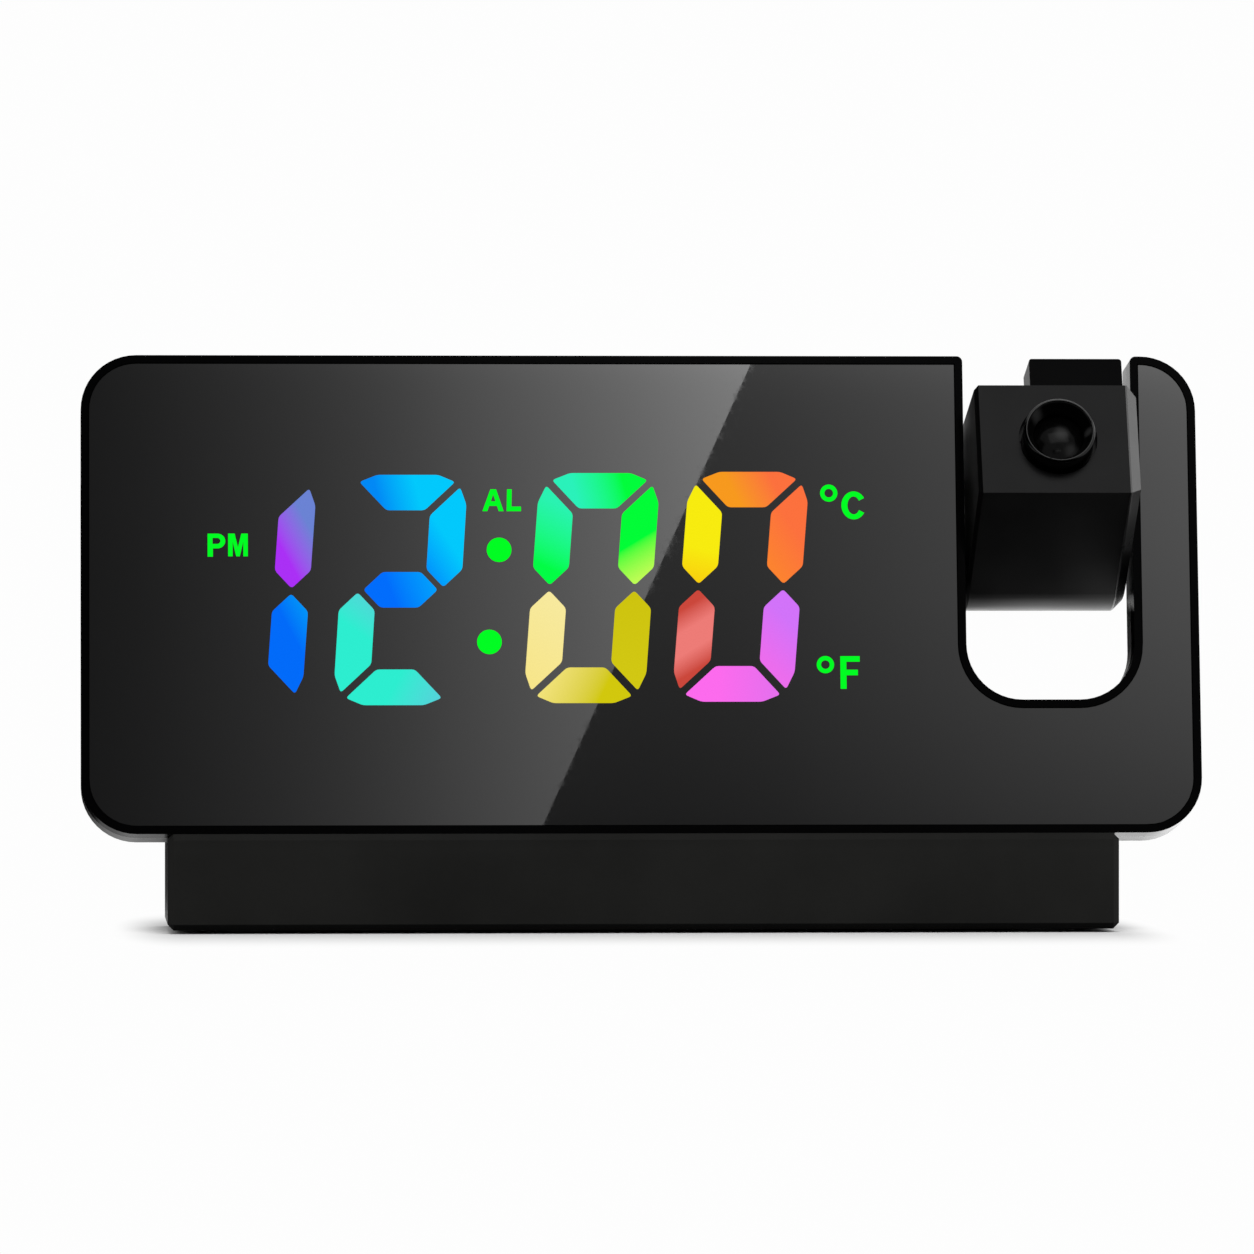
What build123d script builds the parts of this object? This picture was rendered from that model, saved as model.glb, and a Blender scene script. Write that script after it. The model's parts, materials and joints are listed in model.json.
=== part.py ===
from build123d import *
import os
from math import acos, atan2, cos, radians, sin, tan

# Projection alarm clock, in millimetres. +X is the clock's right as seen from its front, the front
# faces -Y and +Z is up. The origin is on the table, at the middle of the outline in X and Y.
#
# PAST is how far a cutting shape runs beyond what it cuts, NEAR a distance that counts as touching.
#
# Case pieces are drawn in the panel frame: X to the right, Y up along the panel, Z out of its face,
# so that depths into the case are negative Z. Arm pieces are drawn in the arm frame: the swivel axis
# is X, the lens looks along -Y. Each is then set in place.

# Panel
PANEL_WIDTH = 190.0
PANEL_HEIGHT = 82.0
PANEL_CORNER = 9.4
PANEL_LEAN = 9.0
RIM_WIDTH = 1.3
LEDGE_WIDTH = 1.5
MIRROR_THICKNESS = 2.0
MIRROR_INSET = 0.2
MIRROR_GAP = 0.1
PAST = 1.0
NEAR = 0.01

# Slot for the arm, open at the panel's top edge, with a column of the panel to its right
RIGHT_COLUMN = 11.1
SLOT_WIDTH = 28.7
SLOT_DEPTH = 59.2
SLOT_CORNER = 9.5
SLOT_LIP = 1.0

# Housing behind the panel
FRAME_DEPTH = 5.0
HOUSING_DEPTH = 11.6
CASE_WALL = 1.8
CASE_ROUND = 0.8
BULGE_FROM_LEFT = 33.0
BULGE_BOTTOM = 9.0
BULGE_TOP = 72.0
BULGE_BEHIND = 10.9
BULGE_CORNER = 7.0
BULGE_ROUND = 3.0

# Base
BASE_WIDTH = 160.9
BASE_DEPTH = 40.0
BASE_TOP = 16.8
BASE_BEVEL = 1.0
BASE_WALL = 1.8
BASE_PLATE = 1.8
BASE_GAP = 0.1
BASE_LIFT = 0.6
PANEL_SETBACK = 3.0
SEAT_GAP = 0.3
FOOT_RADIUS = 5.0
FOOT_SINK = 1.0
FOOT_FROM_END = 13.0
FOOT_FROM_EDGE = 8.0
FOOT_BEVEL = 0.3
BASE_POST_INSET = (24.0, 7.0)

# Projector arm
ARM_WIDTH = 27.6
ARM_REACH = 31.5
ARM_FACE = 20.3
HUB_RADIUS = 15.3
ARM_WALL = 1.8
ARM_AIM = 26.0
ARM_BEVEL = 0.7
COVER_THICKNESS = 2.0
COVER_BEVEL = 1.7
PIVOT_UP = 55.5
PIVOT_BEHIND = 12.9

# Swivel joint
TRUNNION_RADIUS = 4.0
TRUNNION_BORE = 2.4
TRUNNION_FLANGE = 8.0
TRUNNION_FLANGE_THICKNESS = 1.5
HINGE_FIT = 0.05
HINGE_BOSS_LENGTH = 4.0
HINGE_BOSS_WALL = 2.2
FRICTION_WASHER = 0.25
FRICTION_WASHER_RADIUS = 7.0
SPRING_WASHER = 0.8
CLIP_THICKNESS = 0.8
CLIP_GROOVE = 0.6
CLIP_SHOULDER = 1.2
CLIP_WIDTH = 2.0
CLIP_MOUTH = 4.0
SPRING_WASHER_WIDTH = 1.6
RUNNING_GAP = 0.3

# Lens and focus slide
BARREL_RADIUS = 6.05
BARREL_WALL = 1.3
BARREL_LENGTH = 18.0
BARREL_STANDS_OUT = 3.4
LENS_HOLE_RADIUS = 6.65
LENS_THICKNESS = 3.6
LENS_CROWN = 1.4
LENS_SETBACK = 2.6
GUIDE_LENGTH = 6.5
GUIDE_WALL = 1.5
FOCUS_TRAVEL = 1.5
THUMB_WIDTH = 15.8
THUMB_LENGTH = 9.0
THUMB_HEIGHT = 7.3
THUMB_OFFSET = 4.3
THUMB_SETBACK = 6.0
THUMB_GAP = 0.65
STEM_WIDTH = 4.0
STEM_OFFSET = 1.5
STEM_LENGTH = 3.0
COLLAR_LENGTH = 4.0
COLLAR_WALL = 1.6
THUMB_ROUND = 0.8
BARREL_BEVEL = 0.35
BARREL_STEP = 0.8
MOUTH_LIP = 0.5

# Optics behind the barrel
BRACKET_HALF = 6.6
BRACKET_LENGTH = 10.0
BRACKET_CLEAR = 1.2
BRACKET_WALL = 1.2
BRACKET_FOOT = 2.5
SLIDE_IN = 0.8
SLIDE_THICKNESS = 1.4
CONDENSER_GAP = 0.4
CONDENSER_THICKNESS = 2.6
LAMP_BOARD = 1.6
LAMP_RADIUS = 2.5
LAMP_LENGTH = 2.4

# Display
DIGIT_HALF_WIDTH = 10.27
DIGIT_HALF_HEIGHT = 19.75
DIGIT_STROKE = 6.1
DIGIT_GAP = 1.3
DIGIT_CORNER = 5.1
CORNER_CUT = 0.24
DIGIT_SLANT = 3.73
DIGIT_UP = 42.1
DIGIT_CENTRES = {
    "hour_tens_light": -66.8,
    "hour_ones_light": -40.8,
    "minute_tens_light": -8.3,
    "minute_ones_light": 16.9,
}
COLON_RADIUS = 2.1
COLON_PLACES = [(-24.15, 48.55), (-25.9, 32.75)]
LEGEND_WIDTH = 7.6
LEGEND_HEIGHT = 6.2
LEGEND_PLACES = {
    "afternoon": (-70.1, 49.4),
    "alarm": (-23.6, 57.2),
    "celsius": (34.25, 56.9),
    "fahrenheit": (33.4, 27.6),
}
MASK_DEPTH = 4.0
MASK_GAP = 0.15
GUIDE_DEPTH = 3.0
BOARD_THICKNESS = 1.0
CHIP = (2.0, 1.4, 0.7)
MASK_INSET = 4.0
MASK_FROM_PIN = 1.0
MASK_HEADROOM = 2.0
MASK_NOTCH = 0.5

# Controls
KEY_RADIUS = 3.2
KEY_GAP = 0.3
KEY_STANDS_OUT = 0.9
KEY_TRAVEL = 0.5
KEY_FLANGE = 1.0
KEY_FLANGE_THICKNESS = 0.8
KEY_STEM_RADIUS = 1.5
KEY_UP = 60.0
KEY_PITCH = 13.0
KEY_NAMES = ["mode_key", "up_key", "down_key", "alarm_key", "projector_key"]
SNOOZE_LENGTH = 60.0
SNOOZE_BREADTH = 2.6
SNOOZE_X = -15.0
SNOOZE_BEHIND = 7.6
SNOOZE_STANDS_OUT = 0.8
SNOOZE_FLANGE = 0.6
SNOOZE_FLANGE_REACH = 1.0
SNOOZE_STEM = (3.0, 2.0)
SNOOZE_SWITCH_ABOVE = 0.3
KEY_ROUND = 0.4
SNOOZE_ROUND = 0.3
KEY_REST_GAP = 0.15
SWITCH_SIZE = 5.0
SWITCH_HEIGHT = 2.6
SWITCH_BUTTON = 0.6

# Control board
CONTROL_BEHIND = 13.0
CONTROL_FROM_WALL = 3.2
CONTROL_FROM_PIN = 5.3
CONTROL_FROM_TOP = 2.7
CONTROL_THICKNESS = 1.2
OUTLET = (13.2, 5.8, 14.0)
OUTLET_UP = 28.0
INLET = (9.0, 3.3, 7.4)
INLET_UP = 46.0
OUTLET_BACK = 2.0
INLET_BACK = 1.5
INLET_TONGUE = (5.8, 0.7)
TONGUE_IN = 1.0
PORT_GAP = 0.3
SHEET = 0.4
BUZZER_RADIUS = 8.0
BUZZER_HEIGHT = 4.0
BUZZER_LIP = 1.0
BUZZER_PLACE = (-28.0, 34.0)
HOLE_RADIUS = 0.9
HOLE_PITCH = 3.6
HOLE_RING_COUNT = 2
HOLE_COUNT = 6
VENT = (1.4, 12.0)
VENT_COUNT = 6
VENT_PITCH = 3.4
VENT_PLACE = (22.0, 30.0)
SENSOR_RADIUS = 1.2
SENSOR_BEHIND = 4.0
SENSOR_LEG = 0.5
SENSOR_PITCH = 1.4
PROCESSOR = (10.0, 10.0, 1.6)
PROCESSOR_PLACE = (6.0, 0.0)
MEMORY = (5.0, 4.0, 1.4)
MEMORY_PLACE = (18.0, 4.0)
CRYSTAL = (3.2, 6.0, 1.2)
CRYSTAL_PLACE = (-3.0, -6.0)
CAPACITOR_RADIUS = 2.5
CAPACITOR_HEIGHT = 5.0
CAPACITOR_PLACES = ((34.0, -8.0), (34.0, 0.0))
HEADER = (24.0, 2.6)
HEADER_PLACE = (20.0, -20.7)
BOARD_POST_INSET = (5.0, 4.0)

# Battery bay in the base
CELL_RADIUS = 5.25
CELL_LENGTH = 43.5
CELL_NUB_RADIUS = 1.9
CELL_NUB_LENGTH = 1.0
CELL_GAP = 0.5
BAY_WALL = 1.2
BAY_HEIGHT = 10.4
CONTACT_BUMP = 1.0
CONTACT_SPRING = 3.7
DOOR_GAP = 0.2
DOOR_THICKNESS = 1.6
DOOR_TONGUE = 1.0
DOOR_TONGUE_THICKNESS = 0.6
DOOR_SLOT_GAP = 0.15
DOOR_BEVEL = 0.6
DOOR_RIB = (14.0, 0.8, 1.0)
DOOR_RIB_COUNT = 4
DOOR_RIB_PITCH = 2.0
DOOR_RIB_FROM_EDGE = 4.0
CONTACT_HALF = 3.0
CONTACT_TIP = 1.0

# Screws
SCREW_RADIUS = 1.0
SCREW_HEAD_RADIUS = 1.9
SCREW_HEAD_HEIGHT = 1.2
SCREW_CLEARANCE = 0.2
SCREW_DRIVE = (2.2, 0.5, 0.5)
SCREW_SPARE = 0.7
POST_RADIUS = 2.3
POST_HOLE_DEPTH = 5.0
POST_BLIND = 0.8
POST_ROOT = 0.5
POST_BEYOND_FRAME = 1.5
CASE_SCREW_FROM_SNOOZE = 8.0
BASE_SCREW_X = 50.0
BASE_SCREW_CLEAR = 0.1
BASE_SCREW_HEAD_DOWN = 1.6
BASE_SCREW_POST = 8.0
TRUNNION_SCREW_RADIUS = 0.7
TRUNNION_SCREW_HEAD = (1.5, 0.8)
ARM_SCREW_AT_HUB = (7.5, 8.6)
ARM_SCREW_AT_FRONT = (-11.8, -9.6)

# Worked out from the above
LEAN_SIN = sin(radians(PANEL_LEAN))
LEAN_COS = cos(radians(PANEL_LEAN))
PANEL_EDGE = PANEL_WIDTH / 2
SLOT_LEFT = PANEL_EDGE - RIGHT_COLUMN - SLOT_WIDTH
SLOT_MID = SLOT_LEFT + SLOT_WIDTH / 2
BULGE_LEFT = BULGE_FROM_LEFT - PANEL_EDGE
BULGE_BACK = HOUSING_DEPTH + BULGE_BEHIND
MIRROR_BACK = MIRROR_INSET + MIRROR_THICKNESS
LEDGE_INSET = RIM_WIDTH + LEDGE_WIDTH
LED_BOARD_FRONT = MIRROR_BACK + MASK_DEPTH
LED_BOARD_BACK = LED_BOARD_FRONT + BOARD_THICKNESS
CONTROL_BACK = CONTROL_BEHIND + CONTROL_THICKNESS
BACK_INSIDE = BULGE_BACK - CASE_WALL

# The arm's reach in front of the pivot sets where the base lies about the origin.
PIVOT_FROM_BASE_MID = (
    PANEL_SETBACK - BASE_DEPTH / 2 + PIVOT_UP * LEAN_SIN + PIVOT_BEHIND * LEAN_COS
)
AIM_SIN = sin(radians(ARM_AIM))
AIM_COS = cos(radians(ARM_AIM))
ARM_FORWARD = ARM_REACH * AIM_COS + ARM_FACE / 2 * AIM_SIN
BASE_Y = -(PIVOT_FROM_BASE_MID - ARM_FORWARD + BASE_DEPTH / 2) / 2
PANEL_Y = BASE_Y - BASE_DEPTH / 2 + PANEL_SETBACK
PIVOT_Y = BASE_Y + PIVOT_FROM_BASE_MID
PIVOT_Z = BASE_TOP + PIVOT_UP * LEAN_COS - PIVOT_BEHIND * LEAN_SIN
ON_PANEL = Pos(0, PANEL_Y, BASE_TOP) * Rot(90 - PANEL_LEAN, 0, 0)
ON_ARM = Pos(SLOT_MID, PIVOT_Y, PIVOT_Z) * Rot(-ARM_AIM, 0, 0)

ARM_LEFT = -ARM_WIDTH / 2
ARM_RIGHT = ARM_WIDTH / 2
COVER_SIDE = ARM_RIGHT - COVER_THICKNESS
ARM_TANGENT = atan2(ARM_FACE / 2, ARM_REACH) + acos(
    HUB_RADIUS / (ARM_REACH**2 + (ARM_FACE / 2) ** 2) ** 0.5
)
ARM_SLOPE = (HUB_RADIUS * sin(ARM_TANGENT) - ARM_FACE / 2) / (
    ARM_REACH - HUB_RADIUS * cos(ARM_TANGENT)
)
BARREL_FRONT = -ARM_REACH - BARREL_STANDS_OUT
BARREL_BACK = BARREL_FRONT + BARREL_LENGTH
GUIDE_BACK = ARM_WALL - ARM_REACH + GUIDE_LENGTH
THUMB_FRONT = THUMB_SETBACK - ARM_REACH
FLANGE_SIDE = ARM_LEFT + ARM_WALL + TRUNNION_FLANGE_THICKNESS
BOSS_END = SLOT_LEFT - CASE_WALL - HINGE_BOSS_LENGTH - SLOT_MID
CLIP_RIGHT = BOSS_END - SPRING_WASHER - RUNNING_GAP
TRUNNION_END = CLIP_RIGHT - CLIP_THICKNESS - CLIP_SHOULDER
CONTROL_LEFT = BULGE_LEFT + CASE_WALL + CONTROL_FROM_WALL
CONTROL_RIGHT = SLOT_MID + TRUNNION_END - CONTROL_FROM_PIN
CONTROL_WIDTH = CONTROL_RIGHT - CONTROL_LEFT
CONTROL_X = (CONTROL_LEFT + CONTROL_RIGHT) / 2
CONTROL_MID_UP = (BULGE_BOTTOM + BULGE_TOP) / 2
CONTROL_HEIGHT = BULGE_TOP - BULGE_BOTTOM - 2 * (CASE_WALL + CONTROL_FROM_TOP)
STEM_MID = GUIDE_BACK + FOCUS_TRAVEL + RUNNING_GAP + COLLAR_LENGTH / 2
COLLAR_RADIUS = BARREL_RADIUS + COLLAR_WALL

BASE_FLOOR = BASE_LIFT + BASE_PLATE
SEAT_DROP = (HOUSING_DEPTH + SEAT_GAP) * LEAN_SIN
SEAT_REAR_Y = PANEL_Y + (HOUSING_DEPTH + SEAT_GAP) * LEAN_COS
CAVITY_X = BASE_WIDTH / 2 - BASE_WALL
CAVITY_Y = BASE_DEPTH / 2 - BASE_WALL
CELL_TOTAL = CELL_LENGTH + CELL_NUB_LENGTH
BAY_LENGTH = CELL_TOTAL + CONTACT_BUMP + CONTACT_SPRING
BAY_REAR = BASE_Y + CAVITY_Y - BASE_GAP
BAY_DEPTH = 4 * CELL_RADIUS + 3 * CELL_GAP
BAY_FRONT = BAY_REAR - BAY_DEPTH
CELL_Z = BASE_LIFT + DOOR_THICKNESS + CELL_GAP + CELL_RADIUS
DOOR_HALF = BAY_LENGTH / 2 + DOOR_SLOT_GAP


def column(radius, low, high, x=0.0, y=0.0):
    """A round bar along Z from low to high."""
    return Pos(x, y, (low + high) / 2) * Cylinder(radius, high - low)


def block(low, high):
    """A box between two opposite corners."""
    size = [b - a for a, b in zip(low, high)]
    mid = [(a + b) / 2 for a, b in zip(low, high)]
    return Pos(*mid) * Box(*size)


def across(radius, left, right, y=0.0, z=0.0):
    """A round bar along X from left to right."""
    return Pos((left + right) / 2, y, z) * Rot(0, 90, 0) * Cylinder(radius, right - left)


def along(radius, front, back, x=0.0, z=0.0):
    """A round bar along Y from front to back."""
    return Pos(x, (front + back) / 2, z) * Rot(90, 0, 0) * Cylinder(radius, back - front)


def slab(face, near, far):
    """A face of the panel plane carried from one depth behind the panel's front to another."""
    return extrude(Pos(0, 0, -far) * face, far - near)


def panel_face(inset=0.0):
    """The panel's outline with its slot, drawn in by inset all round."""
    body = Pos(0, PANEL_HEIGHT / 2) * RectangleRounded(
        PANEL_WIDTH - 2 * inset, PANEL_HEIGHT - 2 * inset, PANEL_CORNER - inset
    )
    slot = Pos(SLOT_MID, PANEL_HEIGHT) * RectangleRounded(
        SLOT_WIDTH + 2 * inset, 2 * (SLOT_DEPTH + inset), SLOT_CORNER + inset
    )
    face = body - slot
    if inset == 0:
        reach = SLOT_WIDTH / 2 + SLOT_LIP
        lips = [
            v
            for v in face.vertices()
            if abs(v.Y - PANEL_HEIGHT) < NEAR and abs(v.X - SLOT_MID) < reach
        ]
        face = fillet(lips, SLOT_LIP)
    return face


def screw(length, radius=SCREW_RADIUS):
    """A pan-head screw along Z: the head's underside at zero and the shank below it."""
    head = column(SCREW_HEAD_RADIUS, 0, SCREW_HEAD_HEIGHT)
    long, wide, deep = SCREW_DRIVE
    for turn in (0, 90):
        head -= Pos(0, 0, SCREW_HEAD_HEIGHT) * Rot(0, 0, turn) * Box(long, wide, 2 * deep)
    return head + column(radius, -length, 0)


# ---------------------------------------------------------------- case


CASE_SCREW_UP = LEDGE_INSET + POST_RADIUS - POST_ROOT
CASE_SCREW_SPOTS = [
    (-BASE_WIDTH / 2, CASE_SCREW_UP),
    (-BASE_WIDTH / 2, PANEL_HEIGHT - CASE_SCREW_UP),
    (SNOOZE_X + SNOOZE_LENGTH / 2 + CASE_SCREW_FROM_SNOOZE, PANEL_HEIGHT - CASE_SCREW_UP),
    (BASE_WIDTH / 2, CASE_SCREW_UP),
    (PANEL_EDGE - CASE_SCREW_UP, PANEL_HEIGHT - 2 * CASE_SCREW_UP),
]
CASE_SCREW_HEAD = HOUSING_DEPTH - SCREW_HEAD_HEIGHT
POST_MEET = FRAME_DEPTH + POST_BEYOND_FRAME
BULGE_RIGHT = SLOT_LEFT


def front_frame():
    """Gloss rim round the mirror, with a ledge behind it and posts for the case screws."""
    frame = slab(panel_face(), 0, FRAME_DEPTH)
    frame -= slab(panel_face(RIM_WIDTH), -PAST, MIRROR_BACK)
    frame -= slab(panel_face(LEDGE_INSET), 0, FRAME_DEPTH + PAST)
    for x, up in CASE_SCREW_SPOTS:
        frame += column(POST_RADIUS, -POST_MEET, -MIRROR_BACK, x, up)
        frame -= column(SCREW_RADIUS, -POST_MEET - PAST, -MIRROR_BACK - POST_BLIND, x, up)
    return frame


def mirror_panel():
    """Smoked half-mirror, one sheet cut out round the slot."""
    return slab(panel_face(RIM_WIDTH + MIRROR_GAP), MIRROR_INSET, MIRROR_BACK)


def bulge(shrink, back):
    """The deeper middle of the rear cover; its right end lies flush in the slot's wall."""
    left = BULGE_LEFT + shrink
    right = BULGE_RIGHT - shrink
    low = BULGE_BOTTOM + shrink
    high = BULGE_TOP - shrink
    box = block((left, low, -back), (right, high, -FRAME_DEPTH - CASE_WALL))
    box = fillet(box.edges().filter_by(Axis.Z).group_by(Axis.X)[0], BULGE_CORNER - shrink)
    rear = box.faces().sort_by(Axis.Z)[0]
    end = [e for e in rear.edges() if e.center().X > right - NEAR]
    return fillet([e for e in rear.edges() if e not in end], BULGE_ROUND - shrink)


def sound_holes():
    """A ring of round holes about a middle one, through the back."""
    x, up = BUZZER_PLACE
    spots = [(x, up)]
    for ring in range(1, HOLE_RING_COUNT + 1):
        count = HOLE_COUNT * ring
        spots += [
            (
                x + ring * HOLE_PITCH * cos(radians(360 / count * i)),
                up + ring * HOLE_PITCH * sin(radians(360 / count * i)),
            )
            for i in range(count)
        ]
    return [column(HOLE_RADIUS, -BULGE_BACK - PAST, PAST - BACK_INSIDE, *spot) for spot in spots]


def key_places():
    """Middle of each key on the back, counted from the left as seen from the front."""
    first = CONTROL_X - KEY_PITCH * (len(KEY_NAMES) - 1) / 2
    return {name: first + KEY_PITCH * i for i, name in enumerate(KEY_NAMES)}


def port_window(size, up):
    """The opening in the bulge's left wall in front of a socket on the control board."""
    breadth, height, _ = size
    mid = CONTROL_BACK + height / 2
    return block(
        (BULGE_LEFT - PAST, up - breadth / 2 - PORT_GAP, -mid - height / 2 - PORT_GAP),
        (BULGE_LEFT + CASE_WALL + PAST, up + breadth / 2 + PORT_GAP, -mid + height / 2 + PORT_GAP),
    )


BOARD_POST_X = CONTROL_WIDTH / 2 - BOARD_POST_INSET[0]
BOARD_POST_UP = CONTROL_HEIGHT / 2 - BOARD_POST_INSET[1]
BOARD_POSTS = [
    (CONTROL_X + sx * BOARD_POST_X, CONTROL_MID_UP + sy * BOARD_POST_UP)
    for sx in (-1, 1)
    for sy in (-1, 1)
]
BASE_SCREW_BEHIND = FRAME_DEPTH + POST_RADIUS + BASE_SCREW_CLEAR


def rear_cover():
    """Shell behind the frame: rim, bulge, hinge boss, posts and every opening of the back."""
    rim = slab(panel_face(), FRAME_DEPTH, HOUSING_DEPTH)
    rear = rim.faces().sort_by(Axis.Z)[0]
    rim = chamfer(rear.edges(), CASE_ROUND)
    cover = rim + bulge(0, BULGE_BACK)
    cover -= slab(panel_face(CASE_WALL), FRAME_DEPTH - PAST, HOUSING_DEPTH - CASE_WALL)
    cover -= bulge(CASE_WALL, BACK_INSIDE)

    inner_wall = SLOT_LEFT - CASE_WALL
    boss_radius = TRUNNION_RADIUS + HINGE_BOSS_WALL
    cover += across(boss_radius, inner_wall - HINGE_BOSS_LENGTH, inner_wall, PIVOT_UP, -PIVOT_BEHIND)
    cover -= across(
        TRUNNION_RADIUS + HINGE_FIT,
        inner_wall - HINGE_BOSS_LENGTH - PAST,
        SLOT_LEFT + PAST,
        PIVOT_UP,
        -PIVOT_BEHIND,
    )

    for x, up in CASE_SCREW_SPOTS:
        cover += column(POST_RADIUS, -HOUSING_DEPTH + CASE_ROUND, -POST_MEET, x, up)
        cover -= column(
            SCREW_RADIUS + SCREW_CLEARANCE, -HOUSING_DEPTH - PAST, PAST - POST_MEET, x, up
        )
        cover -= column(
            SCREW_HEAD_RADIUS + SCREW_CLEARANCE, -HOUSING_DEPTH - PAST, -CASE_SCREW_HEAD, x, up
        )
    for x, up in BOARD_POSTS:
        cover += column(POST_RADIUS, -BACK_INSIDE - POST_ROOT, -CONTROL_BACK, x, up)
        cover -= column(
            SCREW_RADIUS, -CONTROL_BACK - POST_HOLE_DEPTH, PAST - CONTROL_BACK, x, up
        )
    for side in (-1, 1):
        spot = Pos(side * BASE_SCREW_X, 0, -BASE_SCREW_BEHIND) * Rot(-90, 0, 0)
        cover += spot * column(POST_RADIUS, 0, BASE_SCREW_POST)
        cover -= spot * column(SCREW_RADIUS, -PAST, BASE_SCREW_POST - POST_BLIND)

    for x in key_places().values():
        cover -= column(KEY_RADIUS + KEY_GAP, -BULGE_BACK - PAST, PAST - BACK_INSIDE, x, KEY_UP)
    cover -= block(
        (
            SNOOZE_X - SNOOZE_LENGTH / 2 - KEY_GAP,
            PANEL_HEIGHT - CASE_WALL - PAST,
            -SNOOZE_BEHIND - SNOOZE_BREADTH / 2 - KEY_GAP,
        ),
        (
            SNOOZE_X + SNOOZE_LENGTH / 2 + KEY_GAP,
            PANEL_HEIGHT + PAST,
            -SNOOZE_BEHIND + SNOOZE_BREADTH / 2 + KEY_GAP,
        ),
    )
    for hole in sound_holes():
        cover -= hole
    for i in range(VENT_COUNT):
        x = VENT_PLACE[0] + (i - (VENT_COUNT - 1) / 2) * VENT_PITCH
        vent = Pos(x, VENT_PLACE[1]) * SlotOverall(VENT[1], VENT[0], rotation=90)
        cover -= slab(vent, BACK_INSIDE - PAST, BULGE_BACK + PAST)
    cover -= port_window(OUTLET, OUTLET_UP)
    cover -= port_window(INLET, INLET_UP)
    return cover


def case_screws():
    """Screws through the rear cover's posts into the frame's posts."""
    length = CASE_SCREW_HEAD - MIRROR_BACK - POST_BLIND - SCREW_SPARE
    drive = Rot(180, 0, 0) * screw(length)
    return [Pos(x, up, -CASE_SCREW_HEAD) * drive for x, up in CASE_SCREW_SPOTS]


def base_fixing_screws():
    """Screws up through the base's seat into the housing."""
    length = BASE_SCREW_HEAD_DOWN + BASE_SCREW_POST - POST_BLIND - SCREW_SPARE
    drive = Rot(90, 0, 0) * screw(length)
    down = -BASE_SCREW_HEAD_DOWN
    return [Pos(side * BASE_SCREW_X, down, -BASE_SCREW_BEHIND) * drive for side in (-1, 1)]


# ---------------------------------------------------------------- display


def digit_point(x, y):
    """A point of an upright digit, leaned to the right with its height."""
    return (x + y * tan(radians(DIGIT_SLANT)), y)


def outline_face(points):
    """A face inside straight runs between leaned points."""
    return make_face(Polyline(*[digit_point(*p) for p in points], close=True))


def digit_posts(side):
    """The two upright segments of one side of a digit, 1 for the right and -1 for the left."""
    a, b, t = DIGIT_HALF_WIDTH, DIGIT_HALF_HEIGHT, DIGIT_STROKE
    step = DIGIT_GAP / 2**0.5
    cut = DIGIT_CORNER * CORNER_CUT
    shoulder = (step + t) / 2
    return [
        outline_face(
            [
                (side * (a - t), s * (b - t - step)),
                (side * (a - cut), s * (b - cut - step)),
                (side * a, s * (b - DIGIT_CORNER)),
                (side * a, s * shoulder),
                (side * (a - t / 2), s * step / 2),
                (side * (a - t), s * shoulder),
            ]
        )
        for s in (1, -1)
    ]


def digit_bars():
    """The three level segments of a digit: top, bottom and middle."""
    a, b, t = DIGIT_HALF_WIDTH, DIGIT_HALF_HEIGHT, DIGIT_STROKE
    step = DIGIT_GAP / 2**0.5
    cut = DIGIT_CORNER * CORNER_CUT
    bars = [
        outline_face(
            [
                (-a + t + step, s * (b - t)),
                (-a + cut + step, s * (b - cut)),
                (-a + DIGIT_CORNER, s * b),
                (a - DIGIT_CORNER, s * b),
                (a - cut - step, s * (b - cut)),
                (a - t - step, s * (b - t)),
            ]
        )
        for s in (1, -1)
    ]
    tip = a - t / 2 - step
    half = t / 2
    low = [(tip, 0), (tip - half, -half), (half - tip, -half)]
    bars.append(outline_face([(-tip, 0), (half - tip, half), (tip - half, half), *low]))
    return bars


def digit_segments(name):
    """The segments of a digit about its own middle; the first digit only ever shows a one."""
    if name == "hour_tens_light":
        return digit_posts(1)
    return digit_bars() + digit_posts(1) + digit_posts(-1)


def colon_faces():
    """The two dots between hours and minutes."""
    return [Pos(x, up) * Circle(COLON_RADIUS) for x, up in COLON_PLACES]


def legend_faces():
    """The small windows for the clock's legends."""
    return [
        Pos(x, up) * Rectangle(LEGEND_WIDTH, LEGEND_HEIGHT) for x, up in LEGEND_PLACES.values()
    ]


def light_groups():
    """Every lit window of the display by the name of its light guides."""
    groups = {
        name: [Pos(x, DIGIT_UP) * face for face in digit_segments(name)]
        for name, x in DIGIT_CENTRES.items()
    }
    groups["colon_light"] = colon_faces()
    groups["legend_light"] = legend_faces()
    return groups


MASK_LEFT = -PANEL_EDGE + LEDGE_INSET + MASK_INSET
MASK_RIGHT = SLOT_MID + TRUNNION_END - MASK_FROM_PIN
MASK_LOW = 2 * CASE_SCREW_UP
MASK_HIGH = PANEL_HEIGHT - LEDGE_INSET - MASK_HEADROOM


def mask_face():
    """The outline shared by the light mask and the LED board, notched round the frame's posts."""
    face = Pos((MASK_LEFT + MASK_RIGHT) / 2, (MASK_LOW + MASK_HIGH) / 2) * Rectangle(
        MASK_RIGHT - MASK_LEFT, MASK_HIGH - MASK_LOW
    )
    for x, up in CASE_SCREW_SPOTS:
        if up > MASK_LOW and x < MASK_RIGHT:
            face -= Pos(x, up) * Circle(POST_RADIUS + MASK_NOTCH)
    return face


def light_mask(groups):
    """Black plate behind the mirror with one window for each light guide."""
    face = mask_face()
    for faces in groups.values():
        for window in faces:
            face -= offset(window, MASK_GAP, kind=Kind.INTERSECTION)
    return slab(face, MIRROR_BACK, LED_BOARD_FRONT)


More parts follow.
